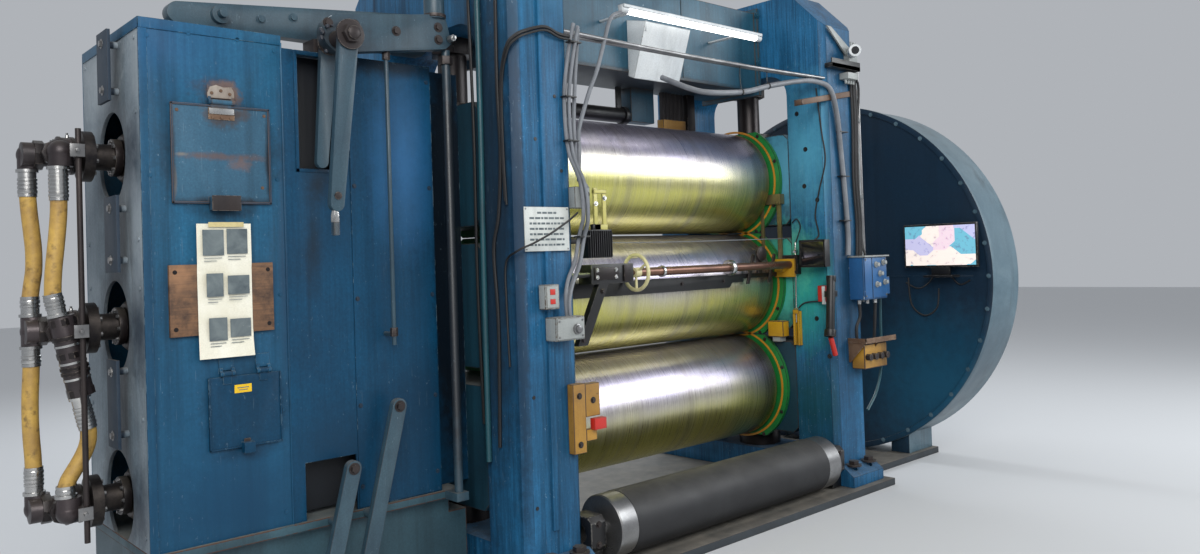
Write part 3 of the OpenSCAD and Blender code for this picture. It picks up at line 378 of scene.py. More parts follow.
def upper_hatch_paint():
    hatch_stains_and_shadow = [
        ((-2.73, PANEL, 2.26), (0.12, 0.05, 0.06), (84, 68, 60), 0.85, 0.8, 0.7),
        ((-2.75, PANEL, 2.086), (0.24, 0.05, 0.019), (94, 74, 68), 0.7, 0.75, 0.7),
        ((-2.72, PANEL, 2.25), (0.11, 0.05, 0.07), (48, 52, 58), 0.7, 0.6, 0.8),
        ((-2.65, PANEL, 2.058), (0.06, 0.05, 0.03), (112, 84, 72), 0.6, 0.9, 0.7),
        ((-2.89, PANEL, 2.09), (0.035, 0.05, 0.009), (134, 126, 112), 0.5, 0.5, 0.7),
        ((-2.92, PANEL, 1.98), (0.012, 0.05, 0.08), (120, 106, 90), 0.55, 0.2, 0.6),
        # Dark along the bottom, left and right edges of the hatch; the bottom and right ones are painted
        # shadow
        ((-2.72, PANEL, 1.892), (0.26, 0.05, 0.035), (30, 26, 28), 0.9, 0.35, 0.7),
        ((-2.926, PANEL, 2.1), (0.016, 0.05, 0.24), (30, 44, 56), 0.8, 0.35, 0.7),
        ((-2.53, PANEL, 2.08), (0.02, 0.05, 0.24), (34, 34, 38), 0.85, 0.35, 0.7),
    ]
    return coat("hatch_enamel", (58, 98, 122), (42, 80, 104), (90, 82, 78), 0.45, 0.45, 0.1, 0.9, 0.4,
                1.3, 0.3, hatch_stains_and_shadow, flecks=0.5, spec=0.3)


def guard_paint():
    guard_stains_and_shade = [
        # Oil below the slot and running down from it, partly painted shadow under the slot
        ((-2.3, PANEL, 2.0), (0.1, 0.05, 0.16), OIL_AND_SHADOW, 0.7, 0.35, 0.9),
        ((-2.33, PANEL, 1.72), (0.05, 0.05, 0.3), OIL_AND_SHADOW, 0.6, 0.2, 0.9),
        ((-2.36, PANEL, 1.5), (0.02, 0.05, 0.3), OIL_AND_SHADOW, 0.35, 0.2, 0.9),
        ((-2.0, PANEL, 1.3), (0.04, 0.05, 0.9), DEEP_BLUE, 0.5, 0.3, 0.9),
        ((-2.27, PANEL, 0.8), (0.3, 0.05, 0.3), DEEP_BLUE, 0.7, 0.3, 0.9),
        # Darker low on the guard's right part: painted shadow
        ((-1.8, PANEL, 0.9), (0.3, 0.05, 0.6), DEEP_BLUE, 0.6, 0.3, 0.9),
        ((-1.86, PANEL, 2.1), (0.24, 0.06, 0.55), (36, 92, 138), 0.8, 0.25, 0.9),
        # Near black at the guard's right end and past it: painted shade in the recess between the guard and
        # the post
        ((-1.56, PANEL, 1.7), (0.17, 0.3, 1.5), (9, 16, 24), 0.94, 0.2, 0.35),
        # Dark band along the guard's top edge: painted shadow under the lever arms
        ((-1.95, PANEL, 2.56), (0.6, 0.06, 0.07), (8, 20, 30), 0.8, 0.5, 0.7),
    ]
    return coat("guard_enamel", (13, 69, 101), (9, 53, 80), PRIMER, 0.4, 0.65, 0.05, 0.6, 0.3, 1.0, 0.35,
                guard_stains_and_shade, flecks=0.4, spec=0.25, streaks=0.18)


def side_paint():
    """The casing's outer wall, drawn pale grey-blue as painted light; dark round its openings with grime and
    painted shade, painted highlights near the top and the front edge, upright streaks of painted reflection,
    and navy plates.
    """
    # A pale patch high at the front edge: painted highlight
    stains_and_light = [((CASE_L, -0.36, 2.55), (0.08, 0.2, 0.3), (150, 158, 164), 0.6, 0.5, 0.9)]
    # Dark round and under each roll opening, and a dark smear in front of it: grime and painted shade
    stains_and_light += [((CASE_L, 0.0, z), (0.08, 0.31, 0.34), (54, 56, 62), 0.8, 0.25, 0.7) for z in ROLL_Z]
    stains_and_light += [((CASE_L, 0.0, z - 0.36), (0.08, 0.15, 0.3), (50, 52, 58), 0.7, 0.25, 0.8) for z in ROLL_Z]
    stains_and_light += [((CASE_L, -0.31, z - 0.02), (0.03, 0.13, 0.26), (34, 44, 58), 0.75, 0.35, 0.8) for z in ROLL_Z]
    # Pale patches high at the back and at the front edge: painted highlights
    stains_and_light += [((CASE_L, 0.15, 2.5), (0.03, 0.4, 0.28), (176, 184, 190), 0.6, 0.45, 0.9),
               ((CASE_L, -0.3, 1.8), (0.03, 0.2, 0.34), (164, 174, 182), 0.6, 0.5, 0.9)]
    stains_and_light += [((CASE_L - 0.056, y, z), (0.045, 0.17, reach), (20, 36, 54), 0.85, 0.06, 0.12)
               for y, z, reach in SIDE_PLATES]
    # The pale grey-blue base is painted light, the casing's paint drawn as brightly lit; its pale upright
    # streaks are painted reflection
    return coat("side_enamel_painted_light", (140, 152, 160), (92, 107, 118), (58, 54, 54), 0.5, 0.5, 0.2, 0.75,
                0.4, 1.2, 0.3, stains_and_light, streaks=0.2, spec=0.2)


def post_paint():
    post_stains_and_light = [
        # Dark over the post's left face behind its front edge: painted shade in the recess, with grime
        ((-1.48, -0.55, 1.9), (0.05, 0.34, 1.9), (30, 42, 54), 0.85, 0.25, 0.6),
        ((-1.465, FRONT + 0.02, 1.9), (0.04, 0.06, 2.2), (16, 46, 70), 0.85, 0.3, 0.5),
        ((-1.3, FRONT, 0.7), (0.35, 0.12, 0.6), (24, 60, 84), 0.5, 0.3, 0.9),
        ((-INNER, FRONT, 1.8), (0.05, 0.2, 1.4), (30, 44, 56), 0.7, 0.3, 0.8),
        ((-1.2, FRONT, 3.0), (0.5, 0.2, 0.5), (28, 92, 124), 0.5, 0.3, 0.9),
        # Teal-green over the far post's inner face: painted lamp light
        ((INNER, -0.55, 1.35), (0.06, 0.4, 0.5), (52, 176, 160), 0.75, 0.25, 0.9),
        ((INNER, -0.6, 2.3), (0.06, 0.5, 0.6), (84, 160, 186), 0.75, 0.3, 0.9),
        ((INNER, -0.45, 1.55), (0.06, 0.22, 0.3), (120, 214, 170), 0.6, 0.4, 0.9),
        ((1.3, FRONT, 1.6), (0.26, 0.05, 1.8), (24, 52, 74), 0.8, 0.35, 0.8),
        # Darker teal low on the inner face, below the painted lamp light
        ((INNER, -0.6, 0.6), (0.06, 0.5, 0.4), (18, 70, 78), 0.7, 0.3, 0.9),
    ]
    return coat("housing_enamel", (43, 110, 154), (22, 70, 104), (44, 56, 68), 0.42, 1.0, 0.16, 0.4, 0.3,
                1.0, 0.7, post_stains_and_light, flecks=1.0, spec=0.22, streaks=0.5)


def machine_paints():
    p = {"case": casing_paint(), "hatch": upper_hatch_paint(), "guard": guard_paint(),
         "side": side_paint(), "post": post_paint()}
    p["low_hatch"] = coat("low_hatch_enamel", (10, 62, 92), (8, 52, 78), PRIMER, 0.42, 0.4, 0.08, 0.7, 0.2,
                          1.2, flecks=0.3, spec=0.25)
    p["beam"] = coat("beam_enamel", (34, 86, 108), (22, 62, 82), (64, 56, 50), 0.45, 0.7, 0.14, 0.8, 0.6, 1.0,
                     flecks=0.6, streaks=0.25, stains_and_light=[((0, -0.1, 2.745), (1.5, 0.8, 0.04), (44, 44, 46),
                                                        0.85, 0.3, 0.6)])
    p["box"] = coat("bearing_enamel", (24, 62, 78), (16, 44, 58), IRON, 0.42, 0.6, 0.14, 0.8, 0.6, 1.4,
                    # Blue-green on the inner faces of the far bearing boxes: painted lamp light
                    stains_and_light=[((INNER, -0.4, z), (0.1, 0.2, 0.42), tone, 0.85, 0.25, 0.6)
                            for z, tone in ((2.2, (78, 150, 176)), (1.45, (70, 176, 156)))])
    p["plinth"] = coat("plinth_enamel", (52, 84, 96), (36, 60, 70), DARK_RUST, 0.55, 0.6, 0.2, 0.8, 0.6, 1.2)
    p["sole"] = coat("sole_plate_paint", (46, 54, 60), (32, 36, 40), DARK_RUST, 0.55, 0.3, 0.25, 0.8, 0.8,
                     1.2)
    p["lever"] = coat("lever_enamel", (58, 82, 94), (38, 60, 74), (48, 46, 48), 0.38, 0.6, 0.16, 0.85, 0.5,
                      1.8, 0.6, flecks=0.5, stains_and_light=[((-1.662, -0.489, 1.6), (0.07, 0.1, 1.3), (24, 27, 32),
                                                     0.92, 0.2, 0.4),
                                                    ((PIVOT_X, -0.5, PIVOT_Z), (0.22, 0.3, 0.14),
                                                     (34, 36, 42), 0.75, 0.4, 0.7)])
    p["drum"] = coat("gear_guard_navy", (24, 48, 68), (18, 38, 56), (60, 66, 72), 0.4, 0.5, 0.04, 0.5, 0.3,
                     0.8, 0.25, [((DRUM_X, -0.9, 0.6), (0.2, 0.9, 0.7), (24, 84, 112), 0.8, 0.3, 0.9)])
    p["rim"] = coat("gear_guard_rim", (98, 122, 134), (60, 88, 102), (60, 66, 70), 0.4, 0.8, 0.12, 0.7, 0.3,
                    1.2, 0.3, [((2.4, -1.3, 0.7), (0.4, 0.6, 0.6), (36, 66, 82), 0.8, 0.35, 0.9)])
    return p


def fitting_paints():
    p = {}
    p["switch_blue"] = coat("switchgear_blue", (44, 98, 150), (34, 78, 124), (140, 150, 156), 0.35, 0.4, 0.05,
                            0.5, 0.5, 1.5)
    p["grey"] = coat("box_grey", (158, 162, 160), (132, 138, 138), (84, 76, 68), 0.45, 0.4, 0.12, 0.7, 0.5,
                     2.0)
    p["white"] = coat("vent_white", (216, 220, 222), (190, 196, 200), (120, 116, 108), 0.4, 0.35, 0.05, 0.5,
                      0.4, 2.0)
    p["conduit"] = coat("conduit_grey", (138, 142, 142), (104, 108, 110), (70, 64, 60), 0.4, 0.4, 0.1, 0.5,
                        0.3, 3.0, metal=0.3)
    p["black"] = coat("black_enamel", (24, 24, 27), (16, 16, 18), (86, 84, 80), 0.4, 0.2, 0.1, 0.7, 0.4, 2.0,
                      dust_colour=(92, 88, 84))
    p["yellow"] = coat("yellow_paint", (206, 160, 32), (176, 132, 26), (74, 58, 44), 0.45, 0.6, 0.22, 0.85,
                       0.4, 2.5)
    p["cream"] = coat("cream_wheel_enamel", (222, 214, 168), (196, 188, 140), (90, 84, 74), 0.35, 0.3, 0.12,
                      0.5, 0.3, 4.0)
    return p


def metal_paints():
    p = {}
    p["iron"] = coat("greasy_iron", (60, 52, 50), (38, 34, 36), (104, 96, 90), 0.42, 0.4, 0.16, 0.7, 0.45,
                     3.0, 0.5, metal=0.35)
    p["steel"] = coat("worn_steel", (150, 150, 150), (112, 112, 114), (78, 66, 58), 0.32, 0.3, 0.12, 0.4, 0.2,
                      3.0, 0.25, metal=0.85)
    p["dirty_steel"] = coat("dirty_steel", (166, 158, 148), (120, 108, 98), (86, 58, 44), 0.5, 0.4, 0.4, 0.7,
                            0.2, 6.0, 0.5)
    p["bright"] = coat("bright_steel", (206, 206, 204), (168, 168, 168), (92, 84, 78), 0.24, 0.2, 0.04, 0.3,
                       0.1, 4.0, 0.2, metal=0.95)
    p["bronze"] = coat("bronze_bar", (118, 84, 68), (88, 62, 52), (150, 140, 120), 0.3, 0.2, 0.1, 0.5, 0.2,
                       3.0, 0.2, metal=0.6)
    p["rust"] = coat("rusty_steel", (124, 100, 80), (84, 58, 42), (158, 148, 132), 0.6, 0.3, 0.25, 0.5, 0.2,
                     5.0, 0.6, metal=0.2)
    return p


def small_paints():
    p = {}
    p["orange"] = coat("guard_orange", (206, 146, 44), (176, 116, 30), (70, 60, 46), 0.45, 0.4, 0.15, 0.7,
                       0.2, 2)
    p["green"] = coat("guard_green", (30, 128, 58), (20, 92, 44), (22, 36, 30), 0.42, 0.5, 0.18, 0.8, 0.3,
                      1.6, 0.5)
    p["red"] = coat("red_plastic", (196, 44, 34), (170, 36, 30), (90, 40, 34), 0.4, 0.2, 0.04, 0.4, 0.2, 3.0)
    p["cable"] = coat("cable_sheath", (30, 30, 32), (20, 20, 22), (70, 68, 66), 0.5, 0.2, 0.05, 0.0, 0.3, 3.0)
    p["pale_cable"] = coat("pale_cable_sheath", (132, 136, 142), (98, 102, 108), (70, 68, 66), 0.45, 0.2,
                           0.05, 0.0, 0.2, 3.0)
    p["paper"] = coat("notice_paper", (232, 230, 216), (214, 210, 190), (188, 180, 156), 0.75, 0.15, 0.02,
                      0.0, 0.0, 4.0, 0.1, run_colour=(206, 198, 172), spec=0.3)
    p["print"] = coat("notice_print", (112, 122, 124), (74, 84, 90), (176, 178, 172), 0.7, 0.0, 0.3, 0.0, 0.0,
                      7.0, 0.05, spec=0.3)
    p["sign"] = coat("sign_white", (206, 210, 206), (184, 190, 188), (120, 112, 98), 0.5, 0.4, 0.06, 0.5, 0.0,
                     3.0)
    p["label"] = coat("label_yellow", (236, 196, 24), (220, 176, 20), (120, 100, 40), 0.5, 0.1, 0.03, 0.3,
                      0.0, 4)
    # The upper hatch's rim, darkened as painted shade round the hatch
    p["hatch_edge"] = coat("hatch_rim_shaded_enamel", (26, 56, 78), (18, 40, 58), (100, 76, 62), 0.5, 0.4, 0.3, 0.9,
                           0.4, 2.0, 0.4)
    p["guard_dark"] = coat("guard_deep_enamel", (20, 48, 70), (12, 30, 46), PRIMER, 0.45, 0.5, 0.05, 0.5, 0.4,
                           1.5)
    p["grease"] = coat("thick_grease", (52, 56, 66), (30, 32, 38), (96, 92, 84), 0.25, 0.2, 0.2, 0.0, 0.0,
                       6.0, 0.8, spec=0.8)
    p["tape"] = coat("old_tape", (206, 192, 140), (184, 168, 118), (150, 134, 96), 0.5, 0.1, 0.1, 0.0, 0.0,
                     5.0)
    p["brown"] = coat("brown_channel_rust", (116, 92, 74), (88, 66, 52), (60, 50, 44), 0.55, 0.4, 0.3, 0.6,
                      0.5, 3.0, 0.5)
    p["teal_pipe"] = coat("teal_pipe_paint", (34, 82, 92), (26, 64, 74), (60, 56, 52), 0.4, 0.4, 0.12, 0.4,
                          0.4, 2.5)
    p["rubber"] = coat("roller_rubber", (30, 31, 34), (22, 22, 25), (58, 56, 54), 0.55, 0.3, 0.16, 0.0, 0.5,
                       2.0, 0.5, dust_colour=(92, 90, 86))
    p["iron_dark"] = coat("dark_iron", (46, 40, 40), (28, 26, 28), (92, 84, 78), 0.36, 0.4, 0.14, 0.6, 0.35,
                          3.0, 0.5, metal=0.5)
    p["union"] = coat("union_iron", (76, 68, 70), (46, 42, 44), (112, 102, 96), 0.36, 0.4, 0.16, 0.7, 0.4,
                      3.5, 0.6, metal=0.45, dust_colour=(98, 88, 76))
    p["straw_steel"] = coat("warm_worn_steel", (156, 146, 104), (112, 104, 76), (70, 62, 52), 0.32, 0.3, 0.14,
                            0.5, 0.2, 3.0, 0.25, metal=0.7)
    p["straw"] = coat("straw_bracket_paint", (206, 200, 120), (180, 172, 92), (96, 88, 60), 0.4, 0.4, 0.12,
                      0.7, 0.2, 3.0)
    # Black for a sheet that stands in for the shade behind the link guard
    p["recess"] = coat("slot_shadow_black", (14, 20, 28), (10, 14, 20), (30, 34, 38), 0.5, 0.3, 0.05, 0.0, 0.1,
                       1.0)
    p["old_yellow"] = coat("worn_yellow", (176, 132, 50), (126, 92, 44), (74, 56, 44), 0.5, 0.8, 0.34, 0.9,
                           0.5, 2.5, 0.5)
    p["lens_dark"] = coat("lens_glass", (20, 24, 28), (14, 16, 20), (44, 46, 48), 0.08, 0.0, 0.0, 0.0, 0.1,
                          3.0, 0.02, spec=0.9)
    return p


def polished_roll():
    """Ground steel with fine turned lines and painted lamp light, straw-yellow on the lower part of each roll
    and lilac above; the journals and tails are dark and greasy.
    """
    material, tree, shader = new_material("polished_roll")
    place = object_place(tree)
    axis = put(tree, "ShaderNodeSeparateXYZ", {"Vector": place}).outputs
    rings = noise(tree, stretched(tree, place, (520, 1.5, 1.5)), 1.0, 3.0, 0.6)
    bands = noise(tree, stretched(tree, place, (9, 0.3, 0.3)), 1.0, 4.0, 0.6)
    # Painted lamp light: straw-yellow on the lower part of each roll, lilac above, in soft blotches
    low = ramp(tree, put(tree, "ShaderNodeMath", {0: plus(tree, axis["Z"], 0.4035), 1: ROLL_GAP},
                         operation="FLOORED_MODULO").outputs[0], 0.15, 0.52, 1.0, 0.0)
    painted_lamp_light = plus(tree, times(tree, low, 0.5),
                times(tree, noise(tree, stretched(tree, place, (1.2, 0.9, 0.9)), 1.0, 3.0, 0.5), 0.5))
    colour = blend_colour(tree, ramp(tree, painted_lamp_light, 0.3, 0.62), srgb(176, 170, 188), srgb(204, 199, 112))
    colour = blend_colour(tree, ramp(tree, bands, 0.48, 0.72, 0.0, 0.4), colour, srgb(130, 124, 122))
    colour = blend_colour(tree, ramp(tree, rings, 0.54, 0.72, 0.0, 0.4), colour, srgb(220, 217, 206))
    far = math_node(tree, "ABSOLUTE", axis["X"])
    end_wear = times(tree, ramp(tree, far, 0.86, 1.06), ramp(tree, bands, 0.3, 0.6, 0.3, 0.9))
    colour = blend_colour(tree, end_wear, colour, srgb(74, 70, 66))
    grime = noise(tree, place, 13.0, 5.0, 0.65)
    dark = blend_colour(tree, ramp(tree, grime, 0.35, 0.68), srgb(46, 44, 46), srgb(84, 78, 74))
    outside = math_node(tree, "GREATER_THAN", far, ROLL_FACE)
    colour = blend_colour(tree, outside, colour, dark)
    tree.links.new(colour, shader.inputs["Base Color"])
    shader.inputs["Metallic"].default_value = 0.9
    gloss = plus(tree, ramp(tree, rings, 0.3, 0.7, 0.23, 0.37), times(tree, outside, 0.16))
    tree.links.new(gloss, shader.inputs["Roughness"])
    relief(tree, shader, rings, 0.1, 0.0005)
    return material


def old_board():
    material, tree, shader = new_material("weathered_board")
    place = object_place(tree)
    grain = noise(tree, stretched(tree, place, (3, 40, 60)), 1.0, 6.0, 0.6, 1.2)
    fine = noise(tree, stretched(tree, place, (14, 200, 260)), 1.0, 3.0)
    blot = noise(tree, place, 7.0, 6.0, 0.7)
    colour = blend_colour(tree, ramp(tree, grain, 0.35, 0.65), srgb(122, 88, 60), srgb(96, 70, 50))
    colour = blend_colour(tree, ramp(tree, fine, 0.5, 0.75, 0.0, 0.4), colour, srgb(78, 54, 40))
    colour = blend_colour(tree, ramp(tree, blot, 0.46, 0.62, 0.0, 0.85), colour, srgb(52, 38, 32))
    colour = blend_colour(tree, ramp(tree, noise(tree, place, 4.0, 4.0, 0.6), 0.55, 0.75, 0.0, 0.6), colour,
                          srgb(176, 128, 88))
    tree.links.new(colour, shader.inputs["Base Color"])
    tree.links.new(ramp(tree, blot, 0.3, 0.7, 0.5, 0.75), shader.inputs["Roughness"])
    relief(tree, shader, grain, 0.5, 0.002)
    return material


def braided_hose():
    material, tree, shader = new_material("braided_hose")
    place = object_place(tree)
    weave = put(tree, "ShaderNodeTexWave", {"Vector": place, "Scale": 60.0, "Distortion": 2.0,
                                            "Detail": 2.0}, wave_type="BANDS",
                bands_direction="Z").outputs["Fac"]
    dirt = noise(tree, place, 11.0, 6.0, 0.7)
    colour = blend_colour(tree, ramp(tree, dirt, 0.35, 0.7), srgb(194, 158, 78), srgb(146, 114, 66))
    colour = blend_colour(tree, ramp(tree, noise(tree, place, 30.0, 5.0), 0.56, 0.72, 0.0, 0.7), colour,
                          srgb(84, 66, 44))
    tree.links.new(colour, shader.inputs["Base Color"])
    shader.inputs["Roughness"].default_value = 0.55
    relief(tree, shader, weave, 0.3, 0.001)
    return material


def glow(name, colour, strength):
    material, _, shader = new_material(name)
    shader.inputs["Base Color"].default_value = colour
    shader.inputs["Emission Color"].default_value = colour
    shader.inputs["Emission Strength"].default_value = strength
    shader.inputs["Roughness"].default_value = 0.4
    return material


def screen_picture():
    """A generic plant overview in soft colour blocks, with no words."""
    material, tree, shader = new_material("screen_picture")
    place = object_place(tree)
    blocks = put(tree, "ShaderNodeTexVoronoi", {"Vector": stretched(tree, place, (1, 5.2, 6.5)),
                                                "Scale": 1.0},
                 distance="MANHATTAN").outputs["Color"]
    fine = noise(tree, stretched(tree, place, (1, 26, 34)), 1.0, 4.0, 0.6)
    tone = put(tree, "ShaderNodeSeparateColor", {"Color": blocks})
    colour = blend_colour(tree, tone.outputs[0], srgb(150, 176, 214), srgb(210, 178, 204))
    colour = blend_colour(tree, ramp(tree, tone.outputs[1], 0.55, 0.7), colour, srgb(104, 170, 190))
    colour = blend_colour(tree, ramp(tree, tone.outputs[2], 0.6, 0.8), colour, srgb(226, 214, 206))
    colour = blend_colour(tree, ramp(tree, fine, 0.56, 0.66, 0.0, 0.45), colour, srgb(84, 84, 130))
    tree.links.new(colour, shader.inputs["Base Color"])
    tree.links.new(colour, shader.inputs["Emission Color"])
    shader.inputs["Emission Strength"].default_value = 0.75
    shader.inputs["Roughness"].default_value = 0.2
    return material


PAINT = {**machine_paints(), **fitting_paints(), **metal_paints(), **small_paints()}
PAINT["roll"] = polished_roll()
PAINT["wood"] = old_board()
PAINT["hose"] = braided_hose()
PAINT["tube_glow"] = glow("lamp_tube_glow", (1, 0.98, 0.94, 1), 4.5)
PAINT["lens_glow"] = glow("lamp_lens_glow", (0.86, 1.0, 0.45, 1), 26.0)
PAINT["screen"] = screen_picture()


# Mesh helpers

SHARP = 38  # edges with a greater angle, in degrees, stay sharp or are rounded


def soften(bm, angle=SHARP):
    limit = math.radians(angle)
    for face in bm.faces:
        face.smooth = True
    for edge in bm.edges:
        edge.smooth = len(edge.link_faces) == 2 and edge.calc_face_angle(0) < limit


def bevel_sharp(bm, width):
    """Rounds the sharp edges and marks the new faces in the face attribute edge."""
    layer = bm.faces.layers.float.get("edge") or bm.faces.layers.float.new("edge")
    sharp = [e for e in bm.edges if len(e.link_faces) == 2 and e.calc_face_angle(0) > math.radians(SHARP)]
    result = bmesh.ops.bevel(bm, geom=sharp, offset=width, segments=2, profile=0.6, affect="EDGES",
                             clamp_overlap=True)
    for face in result["faces"]:
        face[layer] = 1.0


def keep(mesh_object, materials, body):
    for material in materials:
        mesh_object.data.materials.append(material)
    if mesh_object.name not in bpy.context.scene.collection.objects:
        bpy.context.scene.collection.objects.link(mesh_object)
    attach(mesh_object, body)
    return mesh_object


def faces_of(verts):
    return {f for v in verts for f in v.link_faces}


def ring(inner, outer, width):
    """The profile of a flat ring for Work.turned, or of a disc if inner is 0."""
    return [(0, inner), (0, outer), (width, outer), (width, inner)]


class Work:
    """Collects the faces of one piece and turns them into an object."""

    def __init__(self):
        self.bm = bmesh.new()
        self.paint = 0

    def _mark(self, faces):
        for face in faces:
            face.material_index = self.paint

    def box(self, lo, hi):
        lo, hi = Vector(lo), Vector(hi)
        made = bmesh.ops.create_cube(self.bm, size=1.0)["verts"]
        place = Matrix.Translation((lo + hi) / 2) @ Matrix.Diagonal(hi - lo).to_4x4()
        bmesh.ops.transform(self.bm, matrix=place, verts=made)
        self._mark(faces_of(made))
        return self

    def bar(self, start, end, radius, sides=16):
        start, end = Vector(start), Vector(end)
        span = end - start
        made = bmesh.ops.create_cone(self.bm, cap_ends=True, segments=sides, radius1=radius, radius2=radius,
                                     depth=span.length)["verts"]
        turn = span.to_track_quat("Z", "Y").to_matrix().to_4x4()
        bmesh.ops.transform(self.bm, matrix=Matrix.Translation((start + end) / 2) @ turn, verts=made)
        self._mark(faces_of(made))
        return self

    def ball(self, centre, radius, sides=16):
        made = bmesh.ops.create_uvsphere(self.bm, u_segments=sides, v_segments=sides // 2,
                                         radius=radius)["verts"]
        bmesh.ops.transform(self.bm, matrix=Matrix.Translation(centre), verts=made)
        self._mark(faces_of(made))
        return self

    def turned(self, origin, axis, profile, sides=32):
        """A turned form: profile holds (distance along the axis, radius)."""
        turn = Vector(axis).to_track_quat("Z", "Y").to_matrix()
        rings = []
        for along, radius in profile:
            corners = [(0, 0, along)]
            if radius > 1e-6:
                angles = [2 * math.pi * k / sides for k in range(sides)]
                corners = [(radius * math.cos(a), radius * math.sin(a), along) for a in angles]
            rings.append([self.bm.verts.new(Vector(origin) + turn @ Vector(corner)) for corner in corners])
        faces = []
        for a, b in zip(rings, rings[1:]):
            for k in range(sides):
                n = (k + 1) % sides
                if len(a) == 1 and len(b) > 1:
                    faces.append(self.bm.faces.new((a[0], b[n], b[k])))
                elif len(b) == 1 and len(a) > 1:
                    faces.append(self.bm.faces.new((a[k], a[n], b[0])))
                elif len(a) > 1:
                    faces.append(self.bm.faces.new((a[k], a[n], b[n], b[k])))
        self._mark(faces)
        return self

    def plate(self, outline, origin, u, v, thick):
        """A flat plate: outline in the plane of u and v, thickened along their cross product."""
        u, v, origin = Vector(u), Vector(v), Vector(origin)
        n = u.cross(v).normalized() * thick
        low = [self.bm.verts.new(origin + u * x + v * y) for x, y in outline]
        high = [self.bm.verts.new(p.co + n) for p in low]
        faces = [self.bm.faces.new(low[::-1]), self.bm.faces.new(high)]
        for k in range(len(low)):
            m = (k + 1) % len(low)
            faces.append(self.bm.faces.new((low[k], low[m], high[m], high[k])))
        self._mark(faces)
        return self

    def pipe(self, path, radius, sides=10):
        """A round tube along a smoothed path, with closed ends."""
        points = smooth_path(path)
        rings = []
        side = None
        for i, p in enumerate(points):
            ahead = (points[min(i + 1, len(points) - 1)] - points[max(i - 1, 0)]).normalized()
            if side is None:
                side = ahead.cross(Vector((0, 0, 1))
                                   if abs(ahead.z) < 0.9 else Vector((1, 0, 0))).normalized()
            side = (side - ahead * side.dot(ahead)).normalized()
            other = ahead.cross(side)
            rings.append([self.bm.verts.new(p + radius * (math.cos(2 * math.pi * k / sides) * side
                                                          + math.sin(2 * math.pi * k / sides) * other))
                          for k in range(sides)])
        faces = [self.bm.faces.new(rings[0][::-1]), self.bm.faces.new(rings[-1])]
        for a, b in zip(rings, rings[1:]):
            for k in range(sides):
                n = (k + 1) % sides
                faces.append(self.bm.faces.new((a[k], a[n], b[n], b[k])))
        self._mark(faces)
        return self

    def done(self, name, materials, body=STAND, bevel=0.0):
        bm = self.bm
        bmesh.ops.recalc_face_normals(bm, faces=bm.faces[:])
        if bevel:
            bevel_sharp(bm, bevel)
        soften(bm)
        mesh = bpy.data.meshes.new(name)
        bm.to_mesh(mesh)
        bm.free()
        names = materials if isinstance(materials, (list, tuple)) else [materials]
        return keep(bpy.data.objects.new(name, mesh), [PAINT[m] for m in names], body)


def block(name, material, lo, hi, bevel=0.0, body=STAND):
    """A piece that is one box."""
    Work().box(lo, hi).done(name, material, body, bevel)


def smooth_path(path, steps=6):
    """Points on a smooth curve through the path's points."""
    points = [Vector(p) for p in path]
    if len(points) < 3:
        return points
    out = []
    for i in range(len(points) - 1):
        a = points[max(i - 1, 0)]
        b, c = points[i], points[i + 1]
        d = points[min(i + 2, len(points) - 1)]
        for k in range(steps):
            t = k / steps
            out.append(0.5 * ((2 * b) + (c - a) * t + (2 * a - 5 * b + 4 * c - d) * t * t
                              + (3 * b - a - 3 * c + d) * t ** 3))
    out.append(points[-1])
    return out


def node_box(node):
    """Low and high corners of a CAD node."""
    points = [v.co for v in nodes[node].data.vertices]
    return [[pick(p[axis] for p in points) for axis in range(3)] for pick in (min, max)]


def refined(node, material, body=STAND, width=0.004):
    """A CAD node's copy with rounded, worn edges, which stands for it."""
    bm = bmesh.new()
    bm.from_mesh(nodes[node].data)
    bmesh.ops.remove_doubles(bm, verts=bm.verts[:], dist=0.00002)
    bmesh.ops.dissolve_limit(bm, angle_limit=math.radians(0.6), verts=bm.verts[:], edges=bm.edges[:])
    bevel_sharp(bm, width)
    soften(bm)
    mesh = bpy.data.meshes.new(node + "_dressed")
    bm.to_mesh(mesh)
    bm.free()
    piece = keep(bpy.data.objects.new(node + "_dressed", mesh), [PAINT[material]], body)
    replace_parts(piece, node)
    return piece


def paint_round_side(piece, material, reach):
    """Gives the faces that look away from the X axis, beyond reach of it, a second paint."""
    piece.data.materials.append(PAINT[material])
    for face in piece.data.polygons:
        if abs(face.normal.x) < 0.5 and math.hypot(face.center.y, face.center.z - MID_Z) > reach:
            face.material_index = 1


def plain(node, material):
    """Keeps a CAD node as it is and gives it a finish."""
    mesh = nodes[node].data
    mesh.materials.clear()
    mesh.materials.append(PAINT[material])


# Repeated hardware by Geometry Nodes

def node_tree(name, inputs):
    tree = bpy.data.node_groups.new(name, "GeometryNodeTree")
    tree.interface.new_socket("Geometry", in_out="INPUT", socket_type="NodeSocketGeometry")
    for label, kind in inputs:
        tree.interface.new_socket(label, in_out="INPUT", socket_type=kind)
    tree.interface.new_socket("Geometry", in_out="OUTPUT", socket_type="NodeSocketGeometry")
    return tree, tree.nodes.new("NodeGroupInput"), tree.nodes.new("NodeGroupOutput")


